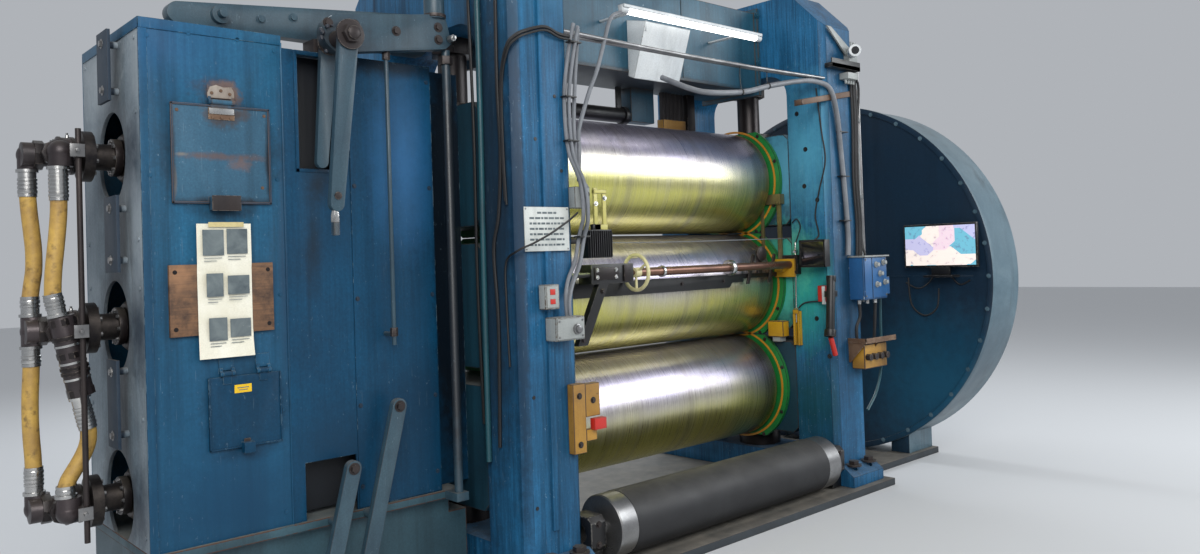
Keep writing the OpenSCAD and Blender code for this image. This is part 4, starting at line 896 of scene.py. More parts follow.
def make_bolt_tree():
    tree, source, sink = node_tree("bolt_heads", [("Radius", "NodeSocketFloat"),
                                                  ("Height", "NodeSocketFloat"), ("Sides", "NodeSocketInt"),
                                                  ("Washer", "NodeSocketFloat"),
                                                  ("Material", "NodeSocketMaterial")])
    out = source.outputs
    half = times(tree, out["Height"], 0.5)
    head = put(tree, "GeometryNodeMeshCylinder", {"Vertices": out["Sides"], "Radius": out["Radius"],
                                                  "Depth": out["Height"]})
    lift = put(tree, "ShaderNodeCombineXYZ", {"Z": half}).outputs[0]
    raised = put(tree, "GeometryNodeTransform", {"Geometry": head.outputs["Mesh"], "Translation": lift})
    rim = times(tree, out["Radius"], out["Washer"])
    thin = times(tree, out["Height"], 0.36)
    washer = put(tree, "GeometryNodeMeshCylinder", {"Vertices": 16, "Radius": rim, "Depth": thin})
    both = tree.nodes.new("GeometryNodeJoinGeometry")
    tree.links.new(raised.outputs[0], both.inputs[0])
    tree.links.new(washer.outputs["Mesh"], both.inputs[0])
    aim = put(tree, "GeometryNodeInputNamedAttribute", {"Name": "aim"},
              data_type="FLOAT_VECTOR").outputs["Attribute"]
    turn = put(tree, "FunctionNodeAlignRotationToVector", {"Vector": aim}, axis="Z").outputs[0]
    spin = put(tree, "FunctionNodeRandomValue", {"Seed": 7}, data_type="FLOAT")
    spin.inputs[3].default_value = 6.2
    twist = put(tree, "ShaderNodeCombineXYZ", {"Z": spin.outputs[1]}).outputs[0]
    turned = put(tree, "FunctionNodeRotateRotation", {"Rotation": turn}, rotation_space="LOCAL")
    tree.links.new(twist, turned.inputs[1])
    spots = put(tree, "GeometryNodeInstanceOnPoints", {"Points": out["Geometry"], "Instance": both.outputs[0],
                                                       "Rotation": turned.outputs[0]})
    real = put(tree, "GeometryNodeRealizeInstances", {"Geometry": spots.outputs[0]})
    final = put(tree, "GeometryNodeSetMaterial", {"Geometry": real.outputs[0], "Material": out["Material"]})
    tree.links.new(final.outputs[0], sink.inputs[0])
    return tree


def make_row_tree():
    tree, source, sink = node_tree("row_of_fins", [("Count", "NodeSocketInt"), ("Start", "NodeSocketVector"),
                                                   ("Step", "NodeSocketVector"), ("Size", "NodeSocketVector"),
                                                   ("Material", "NodeSocketMaterial")])
    out = source.outputs
    line = put(tree, "GeometryNodeMeshLine", {"Count": out["Count"], "Start Location": out["Start"],
                                              "Offset": out["Step"]})
    fin = put(tree, "GeometryNodeMeshCube", {"Size": out["Size"]})
    spots = put(tree, "GeometryNodeInstanceOnPoints", {"Points": line.outputs[0],
                                                       "Instance": fin.outputs["Mesh"]})
    real = put(tree, "GeometryNodeRealizeInstances", {"Geometry": spots.outputs[0]})
    final = put(tree, "GeometryNodeSetMaterial", {"Geometry": real.outputs[0], "Material": out["Material"]})
    tree.links.new(final.outputs[0], sink.inputs[0])
    return tree


BOLT_TREE = make_bolt_tree()
ROW_TREE = make_row_tree()


def grown(name, mesh, tree, values, body):
    """Runs a geometry tree on a mesh and keeps the result as a plain mesh."""
    seed = bpy.data.objects.new(name + "_seed", mesh)
    bpy.context.scene.collection.objects.link(seed)
    modifier = seed.modifiers.new("grow", "NODES")
    modifier.node_group = tree
    for item in tree.interface.items_tree:
        if item.in_out == "INPUT" and item.name in values:
            modifier[item.identifier] = values[item.name]
    view = bpy.context.evaluated_depsgraph_get()
    made = bpy.data.meshes.new_from_object(seed.evaluated_get(view))
    made.name = name
    bpy.data.objects.remove(seed)
    bm = bmesh.new()
    bm.from_mesh(made)
    soften(bm)
    bm.to_mesh(made)
    bm.free()
    return keep(bpy.data.objects.new(name, made), [], body)


def bolts(name, spots, radius, height, material, body=STAND, sides=6, washer=1.5):
    """Bolt heads at the spots (x, y, z, nx, ny, nz)."""
    mesh = bpy.data.meshes.new(name + "_spots")
    mesh.from_pydata([s[:3] for s in spots], [], [])
    aim = mesh.attributes.new("aim", "FLOAT_VECTOR", "POINT")
    for k, s in enumerate(spots):
        aim.data[k].vector = s[3:]
    return grown(name, mesh, BOLT_TREE, {"Radius": radius, "Height": height, "Sides": sides, "Washer": washer,
                                         "Material": PAINT[material]}, body)


def screws(name, spots, radius, height, material, body=STAND):
    """Small round heads on thin washers."""
    return bolts(name, spots, radius, height, material, body, 10, 1.2)


def fins(name, count, start, step, size, material):
    """A row of equal blocks."""
    mesh = bpy.data.meshes.new(name + "_spot")
    mesh.from_pydata([(0, 0, 0)], [], [])
    return grown(name, mesh, ROW_TREE, {"Count": count, "Start": start, "Step": step, "Size": size,
                                        "Material": PAINT[material]}, STAND)


def round_spots(x, y, z, radius, count, side=-1, phase=0.0):
    """Spots on a circle about an axis along X, facing along X."""
    return [(x, y + radius * math.cos(a), z + radius * math.sin(a), side, 0, 0)
            for a in (phase + 2 * math.pi * k / count for k in range(count))]


def front_grid(y, xs, zs):
    """Spots that face the front, at each x and each z."""
    return [(x, y, z, 0, -1, 0) for x in xs for z in zs]


def front_spots(y, places):
    """Spots that face the front, at the places (x, z)."""
    return [(x, y, z, 0, -1, 0) for x, z in places]


# The dressed CAD nodes

def dress_nodes():
    for node, material, width in (
            ("near_housing", "post", 0.006), ("far_housing", "post", 0.006), ("cross_beam", "beam", 0.005),
            ("near_bearing_boxes", "box", 0.006), ("far_bearing_boxes", "box", 0.006),
            ("bed_plate", "sole", 0.004), ("casing_plinth", "plinth", 0.005), ("casing_front", "case", 0.003),
            ("casing_side", "side", 0.003), ("casing_back", "case", 0.003), ("casing_top", "case", 0.003),
            ("casing_inner_wall", "case", 0.003), ("link_guard", "guard", 0.002),
            ("rear_lever_arm", "lever", 0.005), ("front_lever_arm", "lever", 0.005),
            ("lever_shaft", "iron", 0.003), ("lever_links", "lever", 0.003), ("lower_links", "lever", 0.003),
            ("top_union", "union", 0.003), ("middle_union", "union", 0.003), ("bottom_union", "union", 0.003),
            ("knife_rail", "black", 0.002), ("knife_block", "black", 0.003),
            ("control_box", "switch_blue", 0.006), ("button_boxes", "grey", 0.005),
            ("vent_box", "white", 0.004), ("conduits", "conduit", 0.002),
            ("adjusting_screws", "iron_dark", 0.004), ("guide_roller_bearings", "black", 0.005),
            ("flood_lamps", "black", 0.005), ("wood_board", "wood", 0.002),
            ("roll_end_guards", "green", 0.003)):
        refined(node, material, width=width)
    refined("upper_hatch", "hatch", "upper_hatch_body", 0.0025)
    refined("lower_hatch", "low_hatch", "lower_hatch_body", 0.0025)
    paint_round_side(refined("gear_guard", "drum", width=0.005), "rim", 0.9 * DRUM_R)
    refined("monitor", "black", width=0.004)
    for node in ("top_roll", "middle_roll", "bottom_roll"):
        plain(node, "roll")
    plain("guide_roller", "steel")
    plain("knife_screw", "bronze")
    plain("handwheel", "cream")
    plain("anti_rotation_rod", "iron")


# Gear casing details

def casing_details():
    front = PANEL
    bolts("casing_screws", front_grid(front, (CASE_L + 0.03, CASE_R - 0.03), (0.56, 1.0, 1.5, 2.0, 2.56))
          + front_grid(front, (-2.85, -2.65), (2.59,)), 0.008, 0.004, "case", sides=12, washer=1.3)
    bolts("side_screws", [(CASE_L, y, z, -1, 0, 0) for y in (-0.35, 0.39)
                          for z in (0.56, 1.03, 1.55, 1.75, 2.26, 2.56)],
          0.009, 0.005, "side", sides=12, washer=1.3)
    plate_bolts = ((-0.115, 2.374), (-0.115, 2.568), (-0.18, 1.668), (-0.18, 1.88), (-0.148, 0.951),
                   (-0.148, 1.211))
    bolts("side_plate_bolts", [(CASE_L - 0.06, y, z, -1, 0, 0) for y, z in plate_bolts], 0.014, 0.01, "steel")
    # Angle round the top of the casing, and a weld bead where the casing meets the link guard
    piece = Work()
    piece.box((CASE_L - 0.004, front - 0.004, 2.588), (CASE_R, front, 2.632))
    piece.box((CASE_L - 0.004, front - 0.004, 2.588), (CASE_L, 0.43, 2.632))
    piece.done("casing_top_angle", "case", bevel=0.0015)
    piece = Work()
    piece.pipe([(CASE_R, front - 0.001, z) for z in (0.5, 1.2, 1.9, 2.6)], 0.004, 6)
    piece.done("casing_seam", "case")
    block("casing_corner_strip", "case", (CASE_L - 0.003, front - 0.003, 0.5), (CASE_L + 0.03, front, 2.6),
          0.001)


def upper_hatch_details():
    x0, x1, z0, z1 = -2.931, -2.523, 1.89, 2.3
    y = HATCH_Y
    body = "upper_hatch_body"
    # The folded rim of the upper hatch, painted dark as painted shade round the hatch
    rim = Work()
    for lo, hi in (((x0, z0), (x0 + 0.008, z1)), ((x1 - 0.008, z0), (x1, z1)), ((x0, z1 - 0.008), (x1, z1)),
                   ((x0, z0), (x1, z0 + 0.008))):
        rim.box((lo[0], y - 0.005, lo[1]), (hi[0], y, hi[1]))
    rim.done("upper_hatch_rim", "hatch_edge", body, bevel=0.0012)
    # Hinge leaf, bare where it rubs, with round rivet heads
    leaf = Work().box((-2.781, y - 0.004, 2.24), (-2.673, y, 2.288))
    leaf.paint = 1
    leaf.box((-2.779, y - 0.0075, 2.262), (-2.675, y - 0.004, 2.288))
    leaf.done("upper_hatch_leaf", ["rust", "bright"], body, bevel=0.001)
    screws("upper_hatch_rivets", front_grid(y - 0.004, (-2.764, -2.727, -2.69), (2.25,)), 0.006, 0.004,
           "rust", body)
    outline = [(-0.056, 0.0), (0.056, 0.0), (0.056, 0.03), (0.044, 0.052), (0.012, 0.048), (-0.02, 0.056),
               (-0.046, 0.046), (-0.056, 0.02)]
    fixed = Work().plate(outline, (-2.727, -0.409, 2.33), ACROSS, UP, 0.006)
    fixed.done("upper_hinge_leaf", "dirty_steel", bevel=0.001)
    screws("upper_hinge_rivets", front_spots(-0.415, ((-2.765, 2.35), (-2.727, 2.362), (-2.69, 2.35))),
           0.006, 0.004, "rust")
    piece = Work()
    piece.box((-2.786, y - 0.04, 1.858), (-2.668, y - 0.034, 1.922))
    piece.box((-2.78, y - 0.034, 1.905), (-2.674, y, 1.917))
    piece.done("upper_hatch_handle_face", "iron", body, bevel=0.002)
    screws("hatch_marks", front_spots(y, ((-2.56, 1.96), (-2.905, 2.27), (-2.545, 2.27))), 0.006,
           0.003, "rust", body)


def lower_hatch_details():
    """Rim, label, rivets and hasp."""
    y = HATCH_Y
    x0, x1, z0, z1 = -2.808, -2.502, 0.87, 1.17
    body = "lower_hatch_body"
    rim = Work()
    for lo, hi in (((x0, z0), (x0 + 0.006, z1)), ((x1 - 0.006, z0), (x1, z1)), ((x0, z0), (x1, z0 + 0.006))):
        rim.box((lo[0], y - 0.004, lo[1]), (hi[0], y, hi[1]))
    rim.done("lower_hatch_rim", "low_hatch", body, bevel=0.001)
    block("lower_hatch_label", "label", (-2.702, y - 0.0012, 1.098), (-2.63, y, 1.132), 0.0, body)
    piece = Work()
    piece.box((-2.69, y - 0.0016, 1.117), (-2.642, y - 0.0012, 1.121))
    piece.box((-2.685, y - 0.0016, 1.108), (-2.647, y - 0.0012, 1.111))
    piece.done("lower_hatch_label_lines", "print", body)
    screws("lower_hatch_rivets", front_grid(y, (-2.745, -2.718, -2.593, -2.565), (1.15,)), 0.005, 0.003,
           "low_hatch", body)
    block("lower_hatch_hasp", "iron", (-2.668, y - 0.006, 0.85), (-2.642, y, 0.905), 0.001, body)


def board_screws():
    low, high = node_box("wood_board")
    spots = [(x, z) for x in (low[0] + 0.022, high[0] - 0.022) for z in (low[2] + 0.03, high[2] - 0.03)]
    bolts("wood_board_screws", front_spots(low[1], spots), 0.006, 0.002, "iron_dark", sides=12,
          washer=1.5)


def notice():
    """A curled paper notice with plain grey panels and lines, no words or pictures."""
    x0, x1, z0, z1 = -2.845, -2.622, 1.252, 1.806
    y = PANEL - 0.018 - 0.002
    rows, columns = 24, 10
    bm = bmesh.new()
    grid = []
    # u runs across the sheet and v runs up it
    for i in range(rows + 1):
        v = i / rows
        line = []
        for k in range(columns + 1):
            u = k / columns
            curl = 0.009 * max(0, 0.12 - v) / 0.12 * (0.4 + u) + 0.004 * math.sin(7 * v + 2 * u) * v * (1 - v)
            flat = 0.0 if 0.2 < v < 0.7 else 0.003
            line.append(bm.verts.new((x0 + (x1 - x0) * u, y - curl - flat - 0.001, z0 + (z1 - z0) * v)))
        grid.append(line)
    for i in range(rows):
        for k in range(columns):
            bm.faces.new((grid[i][k], grid[i][k + 1], grid[i + 1][k + 1], grid[i + 1][k]))
    mesh = bpy.data.meshes.new("notice_sheet")
    bm.normal_update()
    soften(bm, 60)
    bm.to_mesh(mesh)
    bm.free()
    sheet = keep(bpy.data.objects.new("notice_sheet", mesh), [PAINT["paper"]], STAND)
    solid = sheet.modifiers.new("thick", "SOLIDIFY")
    solid.thickness = 0.0008
    solid.offset = -1
    panels = Work()
    lines = Work()
    front = y - 0.0105
    for x, z, w, h in ((-2.824, 1.675, 0.086, 0.106), (-2.726, 1.68, 0.086, 0.104),
                       (-2.812, 1.505, 0.068, 0.096), (-2.726, 1.512, 0.09, 0.078),
                       (-2.806, 1.324, 0.074, 0.094), (-2.72, 1.334, 0.086, 0.076)):
        panels.box((x, front, z), (x + w, front + 0.0006, z + h))
        for k, share in enumerate((0.86, 0.6)):
            lines.box((x + 0.004, front, z - 0.012 - 0.012 * k),
                      (x + 0.004 + w * share, front + 0.0005, z - 0.0095 - 0.012 * k))
    panels.done("notice_panels", "print")
    lines.done("notice_lines", "print")
    block("notice_tape", "tape", (-2.8, y - 0.0125, 1.792), (-2.655, y - 0.012, 1.812))


def guard_details():
    front = PANEL
    # The right-hand sheet of the link guard lies over the left-hand one
    block("guard_cover_sheet", "guard", (-2.146, front - 0.004, 0.505), (-1.708, front, 2.572), 0.0012)
    bolts("guard_screws", front_grid(front - 0.004, (-2.128, -1.728), (0.6, 0.97, 1.46, 1.98, 2.5)), 0.008,
          0.005, "guard_dark", sides=8, washer=1.4)
    # Frame strips round the slot, and a black sheet behind the guard that paints the shade seen through the
    # slot
    slot = Work()
    for lo, hi in (((-2.404, 2.036), (-2.388, 2.576)), ((-2.224, 2.036), (-2.208, 2.576)),
                   ((-2.404, 2.036), (-2.208, 2.052))):
        slot.box((lo[0], front - 0.003, lo[1]), (hi[0], front, hi[1]))
    slot.done("slot_frame", "guard", bevel=0.001)
    block("guard_shadow_sheet", "recess", (-2.44, -0.31, 0.52), (-1.72, -0.304, 2.5695))


def lever_details():
    caps = Work()
    caps.turned((PIVOT_X, -0.676, PIVOT_Z), TO_FRONT, [(0, 0), (0, 0.03), (0.012, 0.03), (0.018, 0.022),
                                                       (0.018, 0)], 24)
    caps.turned((PIVOT_X, -0.64, PIVOT_Z), TO_FRONT, ring(0, 0.066, 0.01), 32)
    # Rear collar, and the clevis pin of the hanging links
    caps.turned((PIVOT_X, -0.44, PIVOT_Z), TO_FRONT, ring(0, 0.058, 0.012), 28)
    caps.bar((PIVOT_X - 0.076, -0.646, 1.915), (PIVOT_X - 0.076, -0.6, 1.915), 0.017, 12)
    caps.done("lever_shaft_collars", "iron", bevel=0.002)
    bolts("lever_bolts", front_spots(-0.52, ((PIVOT_X - 0.04, 2.69), (-2.16, 2.7), (-1.72, 2.75),
                                             (-1.72, 2.69), (-1.95, 2.7))), 0.016, 0.012, "iron")
    bolts("rear_lever_bolts", front_spots(-0.3, ((-2.5, 2.72), (-2.35, 2.75), (-1.85, 2.78))),
          0.014, 0.01, "lever", sides=8)
    # Rod end under the long link: bright nut and thread
    rod = Work().turned((-2.334, -0.624, 1.852), (0, 0, -1),
                        [(0, 0), (0, 0.016), (0.022, 0.02), (0.024, 0.02), (0.05, 0.02),
                         (0.052, 0.014), (0.052, 0)], 6)
    rod.done("link_rod_nut", "bright", bevel=0.001)
    fins("link_rod_threads", 16, (-2.334, -0.624, 1.75), (0, 0, 0.0045), (0.0272, 0.0272, 0.002), "steel")
    # Turnbuckle nuts on the upright rods
    for name, x, z, r in (("thin_rod_nut", -1.99, 1.3, 0.018), ("thin_rod_top_nut", -1.99, 2.585, 0.018),
                          ("stout_rod_nut", -1.662, 2.6, 0.034)):
        Work().bar((x, -0.489, z - 0.02), (x, -0.489, z + 0.02), r, 6).done(name, "iron", bevel=0.0015)
    # Screw post on the root of the front lever
    piece = Work()
    piece.turned((-1.72, -0.489, 2.8), UP, ring(0, 0.056, 0.016), 28)
    piece.turned((-1.72, -0.489, 2.889), UP, ring(0, 0.034, 0.006), 28)
    piece.done("lever_root_post", "iron", bevel=0.002)
    piece = Work()
    piece.bar((-1.66, -0.56, 2.7), (-1.66, -0.524, 2.7), 0.018, 6)
    piece.bar((-1.66, -0.575, 2.7), (-1.66, -0.56, 2.7), 0.009, 12)
    piece.done("lever_root_nut", "bright", bevel=0.001)
    # Grease that has built up round the pivot
    lumps = Work()
    rnd = random.Random(11)
    for _ in range(26):
        a = rnd.uniform(0, 2 * math.pi)
        r = 0.07 + rnd.uniform(-0.012, 0.016)
        lumps.ball((PIVOT_X + r * math.cos(a), -0.525 - rnd.uniform(0, 0.006), PIVOT_Z + r * math.sin(a)),
                   rnd.uniform(0.007, 0.015), 8)
    lumps.done("pivot_grease", "grease")


def link_details():
    pins = front_spots(-0.522, ((-2.226, 0.715), (-2.388, 0.095), (-1.99, 0.96), (-2.214, 0.095)))
    bolts("lower_link_pins", pins, 0.018, 0.014, "iron")


# Rotary unions and hoses

def union_details():
    for name, z in zip(("bottom", "middle", "top"), ROLL_Z):
        bolts(name + "_flange_bolts", round_spots(-3.125, 0, z, 0.082, 8, 1, 0.3)
              + round_spots(-3.257, 0, z, 0.058, 6, -1, 0.2), 0.0095, 0.012, "steel")
        trim = Work()
        trim.turned((-3.19, 0, z), (-1, 0, 0), ring(0.07, 0.079, 0.012), 32)
        trim.turned((-3.24, 0, z), (-1, 0, 0), ring(0.07, 0.079, 0.01), 32)
        trim.turned((-3.3, 0, z), (-1, 0, 0), ring(0.04, 0.058, 0.035), 8)
        trim.turned((BRANCH_X - 0.01, -0.072, z), TO_FRONT, ring(0.036, 0.052, 0.03), 8)
        trim.turned((-3.045, 0, z), ACROSS, ring(0.0562, 0.08, 0.03), 40)
        trim.done(name + "_union_rings", "iron_dark", bevel=0.0015)
        bolts(name + "_gland_bolts", round_spots(-3.045, 0, z, 0.068, 8, -1, 0.1), 0.007, 0.009, "steel")
        lug = Work().box((-3.25, -0.222, z - 0.026), (-3.196, -0.216, z + 0.026))
        lug.bar((-3.224, -0.236, z), (-3.224, -0.219, z), 0.009, 6)
        lug.done(name + "_lug_cap", "steel", bevel=0.001)
        nipple = Work().turned((-3.21, 0.0, z + 0.073), UP,
                               [(0, 0), (0, 0.007), (0.012, 0.007), (0.016, 0.004),
                                (0.022, 0.005), (0.022, 0)], 10)
        nipple.done(name + "_grease_nipple", "bright")


def tee_details():
    """Hexagons, collars and bright bands on the long tee of the middle union."""
    top, low = Vector((-3.274, -0.125, 1.45)), Vector((-3.206, -0.125, 1.128))
    ahead = (low - top).normalized()
    rings = Work()
    for share, reach, width, sides in ((0.02, 0.054, 0.03, 6), (0.24, 0.053, 0.018, 32),
                                       (0.44, 0.055, 0.026, 6), (0.62, 0.053, 0.014, 32),
                                       (0.68, 0.053, 0.014, 32), (0.9, 0.054, 0.032, 6)):
        rings.turned(top + share * (low - top), ahead, ring(0.046, reach, width), sides)
    rings.done("tee_collars", "iron_dark", bevel=0.002)
    bands = Work()
    for share in (0.34, 0.56, 0.76):
        bands.turned(top + share * (low - top), ahead, ring(0.047, 0.0505, 0.009), 32)
    bands.done("tee_bands", "bright")


def hose_routes():
    """Each hose: its name, its route, and the elbows that its two sleeves reach."""
    bx, by = -3.272, -0.125
    rx, ry = -3.349, 0.04
    front_upper = [(bx, -0.125, 1.925), (bx - 0.002, -0.125, 1.86), (bx - 0.008, -0.126, 1.79),
                   (bx - 0.016, -0.127, 1.715), (bx - 0.024, -0.128, 1.645), (bx - 0.028, -0.127, 1.585),
                   (bx - 0.029, -0.125, 1.53)]
    front_lower = [(bx + 0.083, -0.125, 1.005), (bx + 0.087, -0.125, 0.975), (bx + 0.084, -0.125, 0.938),
                   (bx + 0.071, -0.125, 0.9), (bx + 0.051, -0.125, 0.862), (bx + 0.029, -0.125, 0.827),
                   (bx + 0.011, -0.125, 0.797), (bx, -0.125, 0.765)]
    rear_upper = [(rx, 0.04, 1.95), (rx + 0.004, 0.04, 1.88), (rx + 0.011, 0.04, 1.8),
                  (rx + 0.017, 0.04, 1.72), (rx + 0.016, 0.04, 1.64), (rx + 0.007, 0.04, 1.575),
                  (rx, 0.04, 1.52)]
    rear_lower = [(rx, 0.04, 1.26), (rx - 0.003, 0.04, 1.2), (rx - 0.007, 0.04, 1.12),
                  (rx - 0.008, 0.04, 1.04), (rx - 0.006, 0.04, 0.96), (rx - 0.002, 0.04, 0.89),
                  (rx, 0.04, 0.83)]
    low, mid, top = ROLL_Z
    return (("front_upper", front_upper, (bx, by, top - 0.058), (bx - 0.012, by, mid + 0.06)),
            ("front_lower", front_lower, (bx + 0.056, by, mid - 0.262), (bx, by, low + 0.058)),
            ("rear_upper", rear_upper, (rx, ry, top - 0.058), (rx, ry, mid + 0.058)),
            ("rear_lower", rear_lower, (rx, ry, mid - 0.058), (rx, ry, low + 0.058)))


def hoses():
    rib = 0.016
    for name, route, start, end in hose_routes():
        points = smooth_path(route, 8)
        curve = bpy.data.curves.new(name + "_hose", "CURVE")
        curve.dimensions = "3D"
        spline = curve.splines.new("POLY")
        spline.points.add(len(points) - 1)
        for point, place in zip(spline.points, points):
            point.co = (*place, 1)
        curve.bevel_depth = HOSE_R
        curve.bevel_resolution = 6
        curve.use_fill_caps = True
        curve.materials.append(PAINT["hose"])
        hose = bpy.data.objects.new(name + "_hose", curve)
        bpy.context.scene.collection.objects.link(hose)
        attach(hose, STAND)
        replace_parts(hose, "union_hoses")
        sleeves = Work()
        for tip, foot in ((points[0], Vector(start)), (points[-1], Vector(end))):
            away = (foot - tip).normalized()
            span = (foot - tip).length
            rings = [(0, 0.0), (0, 0.033), (0.003, 0.0355)]
            count = max(2, int((span - 0.03) / rib))
            for k in range(count):
                a = 0.006 + k * rib
                rings += [(a, 0.0362), (a + 0.009, 0.0362), (a + 0.011, 0.0335), (a + 0.014, 0.0335)]
            rings += [(span - 0.014, 0.0335), (span - 0.013, 0.041), (span - 0.001, 0.041), (span - 0.001, 0)]
            sleeves.turned(tip - away * 0.012, away, ring(0.0312, 0.0345, 0.012), 24)
            sleeves.turned(tip, away, rings, 24)
        sleeves.done(name + "_sleeves", "bright")


# Housing and roll details

def housing_details():
    spots = []
    for z in ROLL_Z:
        spots += round_spots(-1.525, 0, z, 0.243, 12, -1)
        spots += round_spots(1.525, 0, z, 0.243, 12, 1)
    bolts("cover_bolts", spots, 0.017, 0.014, "iron")
    feet = [(sx * x, sy * 0.846, 0.175, 0, 0, 1) for sx in (-1, 1) for sy in (-1, 1) for x in (1.21, 1.39)]
    bolts("anchor_nuts", feet, 0.034, 0.03, "iron")
    beam = [(sx * 1.096, -0.27, z, 0, -1, 0) for sx in (-1, 1) for z in (2.78, 2.95, 3.12, 3.29)]
    bolts("beam_flange_bolts", beam, 0.016, 0.012, "beam", sides=6)
    seams = Work()
    seams.box((0.33, -0.2445, 2.752), (0.342, -0.24, 3.308))
    seams.box((-1.09, -0.246, 2.75), (1.09, -0.24, 2.766))
    seams.done("beam_seams", "beam", bevel=0.002)
    rings = Work()
    for side in (-1, 1):
        for z in ROLL_Z:
            x = side * 1.0937
            rings.turned((x, 0, z), (-side, 0, 0), ring(0.368, 0.382, 0.004), 96)
    rings.done("ring_guard_bands", "orange")
    bands = []
    for z in ROLL_Z:
        for a in (2.2, 2.8, 3.6, 4.2):
            bands.append((1.0937, 0.4 * math.cos(a), z + 0.4 * math.sin(a), -1, 0, 0))
            bands.append((-1.0937, 0.4 * math.cos(a), z + 0.4 * math.sin(a), 1, 0, 0))
    bolts("ring_guard_bolts", bands, 0.009, 0.007, "iron", sides=6)


def roller_cover():
    """The dark rubber sleeve on the middle of the guide roller."""
    x0, x1, r = -0.86, 0.84, 0.1668
    piece = Work()
    piece.turned((x0, -0.745, 0.225), ACROSS, ring(0.15, r, x1 - x0), 96)
    piece.done("guide_roller_sleeve", "rubber", "guide_roller_body")
    bolts("roller_bearing_bolts", front_grid(-0.835, (-1.07, 1.07), (0.175, 0.275)), 0.012, 0.01, "iron")


def near_post_details():
    y = FRONT
    block("rating_plate", "sign", (-1.456, y - 0.016, 1.652), (-1.176, y - 0.012, 1.868), 0.0015)
    lines = Work()
    rnd = random.Random(5)
    for k in range(7):
        left, right = (-1.376, -1.256) if k == 0 else (-1.424, -1.208)
        while left < right - 0.01:
            w = min(rnd.uniform(0.012, 0.034), right - left)
            lines.box((left, y - 0.0166, 1.834 - 0.026 * k), (left + w, y - 0.016, 1.844 - 0.026 * k))
            left += w + 0.006
    lines.done("rating_plate_lines", "print")
    screws("rating_plate_screws", front_grid(y - 0.016, (-1.446, -1.186), (1.662, 1.858)), 0.004,
           0.002, "steel")
    # Switch on the post: lid and two red windows
    front = y - 0.062
    block("post_switch_lid", "grey", (-1.372, front - 0.004, 1.378), (-1.298, front, 1.482), 0.0015)
    piece = Work()
    piece.box((-1.352, front - 0.006, 1.44), (-1.32, front - 0.004, 1.468))
    piece.box((-1.352, front - 0.006, 1.395), (-1.32, front - 0.004, 1.42))
    piece.done("post_switch_windows", "red", bevel=0.001)
    # Push-button box: lid, knob and screws
    front = y - 0.092
    block("button_box_lid", "grey", (-1.338, front - 0.006, 1.222), (-1.167, front, 1.323), 0.002)
    knob = Work().turned((-1.215, front - 0.006, 1.268), TO_FRONT,
                         [(0, 0), (0, 0.026), (0.008, 0.026), (0.01, 0.018), (0.022, 0.018),
                          (0.024, 0.013), (0.024, 0)], 28)
    knob.done("button_box_knob", "steel", bevel=0.001)
    screws("button_box_screws", front_grid(front - 0.006, (-1.326, -1.179), (1.234, 1.311)), 0.005,
           0.003, "steel")
    # Small switch box with a knob, high on the corner of the post
    block("corner_switch_box", "grey", (-1.16, y - 0.05, 1.862), (-1.06, ON_POST, 1.97), 0.003)
    piece = Work()
    piece.turned((-1.098, y - 0.05, 1.93), TO_FRONT, [(0, 0), (0, 0.02), (0.012, 0.02), (0.02, 0.012),
                                                      (0.03, 0.012), (0.03, 0)], 20)
    piece.done("corner_switch_knob", "black", bevel=0.001)
    # Yellow bracket on the corner of the post with a small red terminal cover
    bracket = Work()
    bracket.box((-1.21, y - 0.045, 0.646), (-1.13, ON_POST, 0.99))
    bracket.box((-1.13, y - 0.045, 0.82), (-1.035, y - 0.005, 0.985))
    bracket.box((-1.13, y - 0.045, 0.7), (-1.06, y - 0.02, 0.76))
    bracket.done("tool_bracket", "old_yellow", bevel=0.003)
    block("terminal_cover", "red", (-1.1, y - 0.075, 0.755), (-1.02, y - 0.04, 0.812), 0.003)
    bolts("tool_bracket_bolts", front_grid(y - 0.045, (-1.17,), (0.69, 0.93))
          + front_spots(y - 0.045, ((-1.08, 0.9),)), 0.011, 0.008, "iron")
    bolts("post_holes", front_spots(y, ((-1.42, 0.95), (-1.3, 0.62), (-1.42, 0.42), (-1.3, 1.02),
                                        (-1.23, 2.42), (-1.36, 2.2), (-1.2, 2.05))), 0.009, 0.002, "black",
          sides=12, washer=1.1)


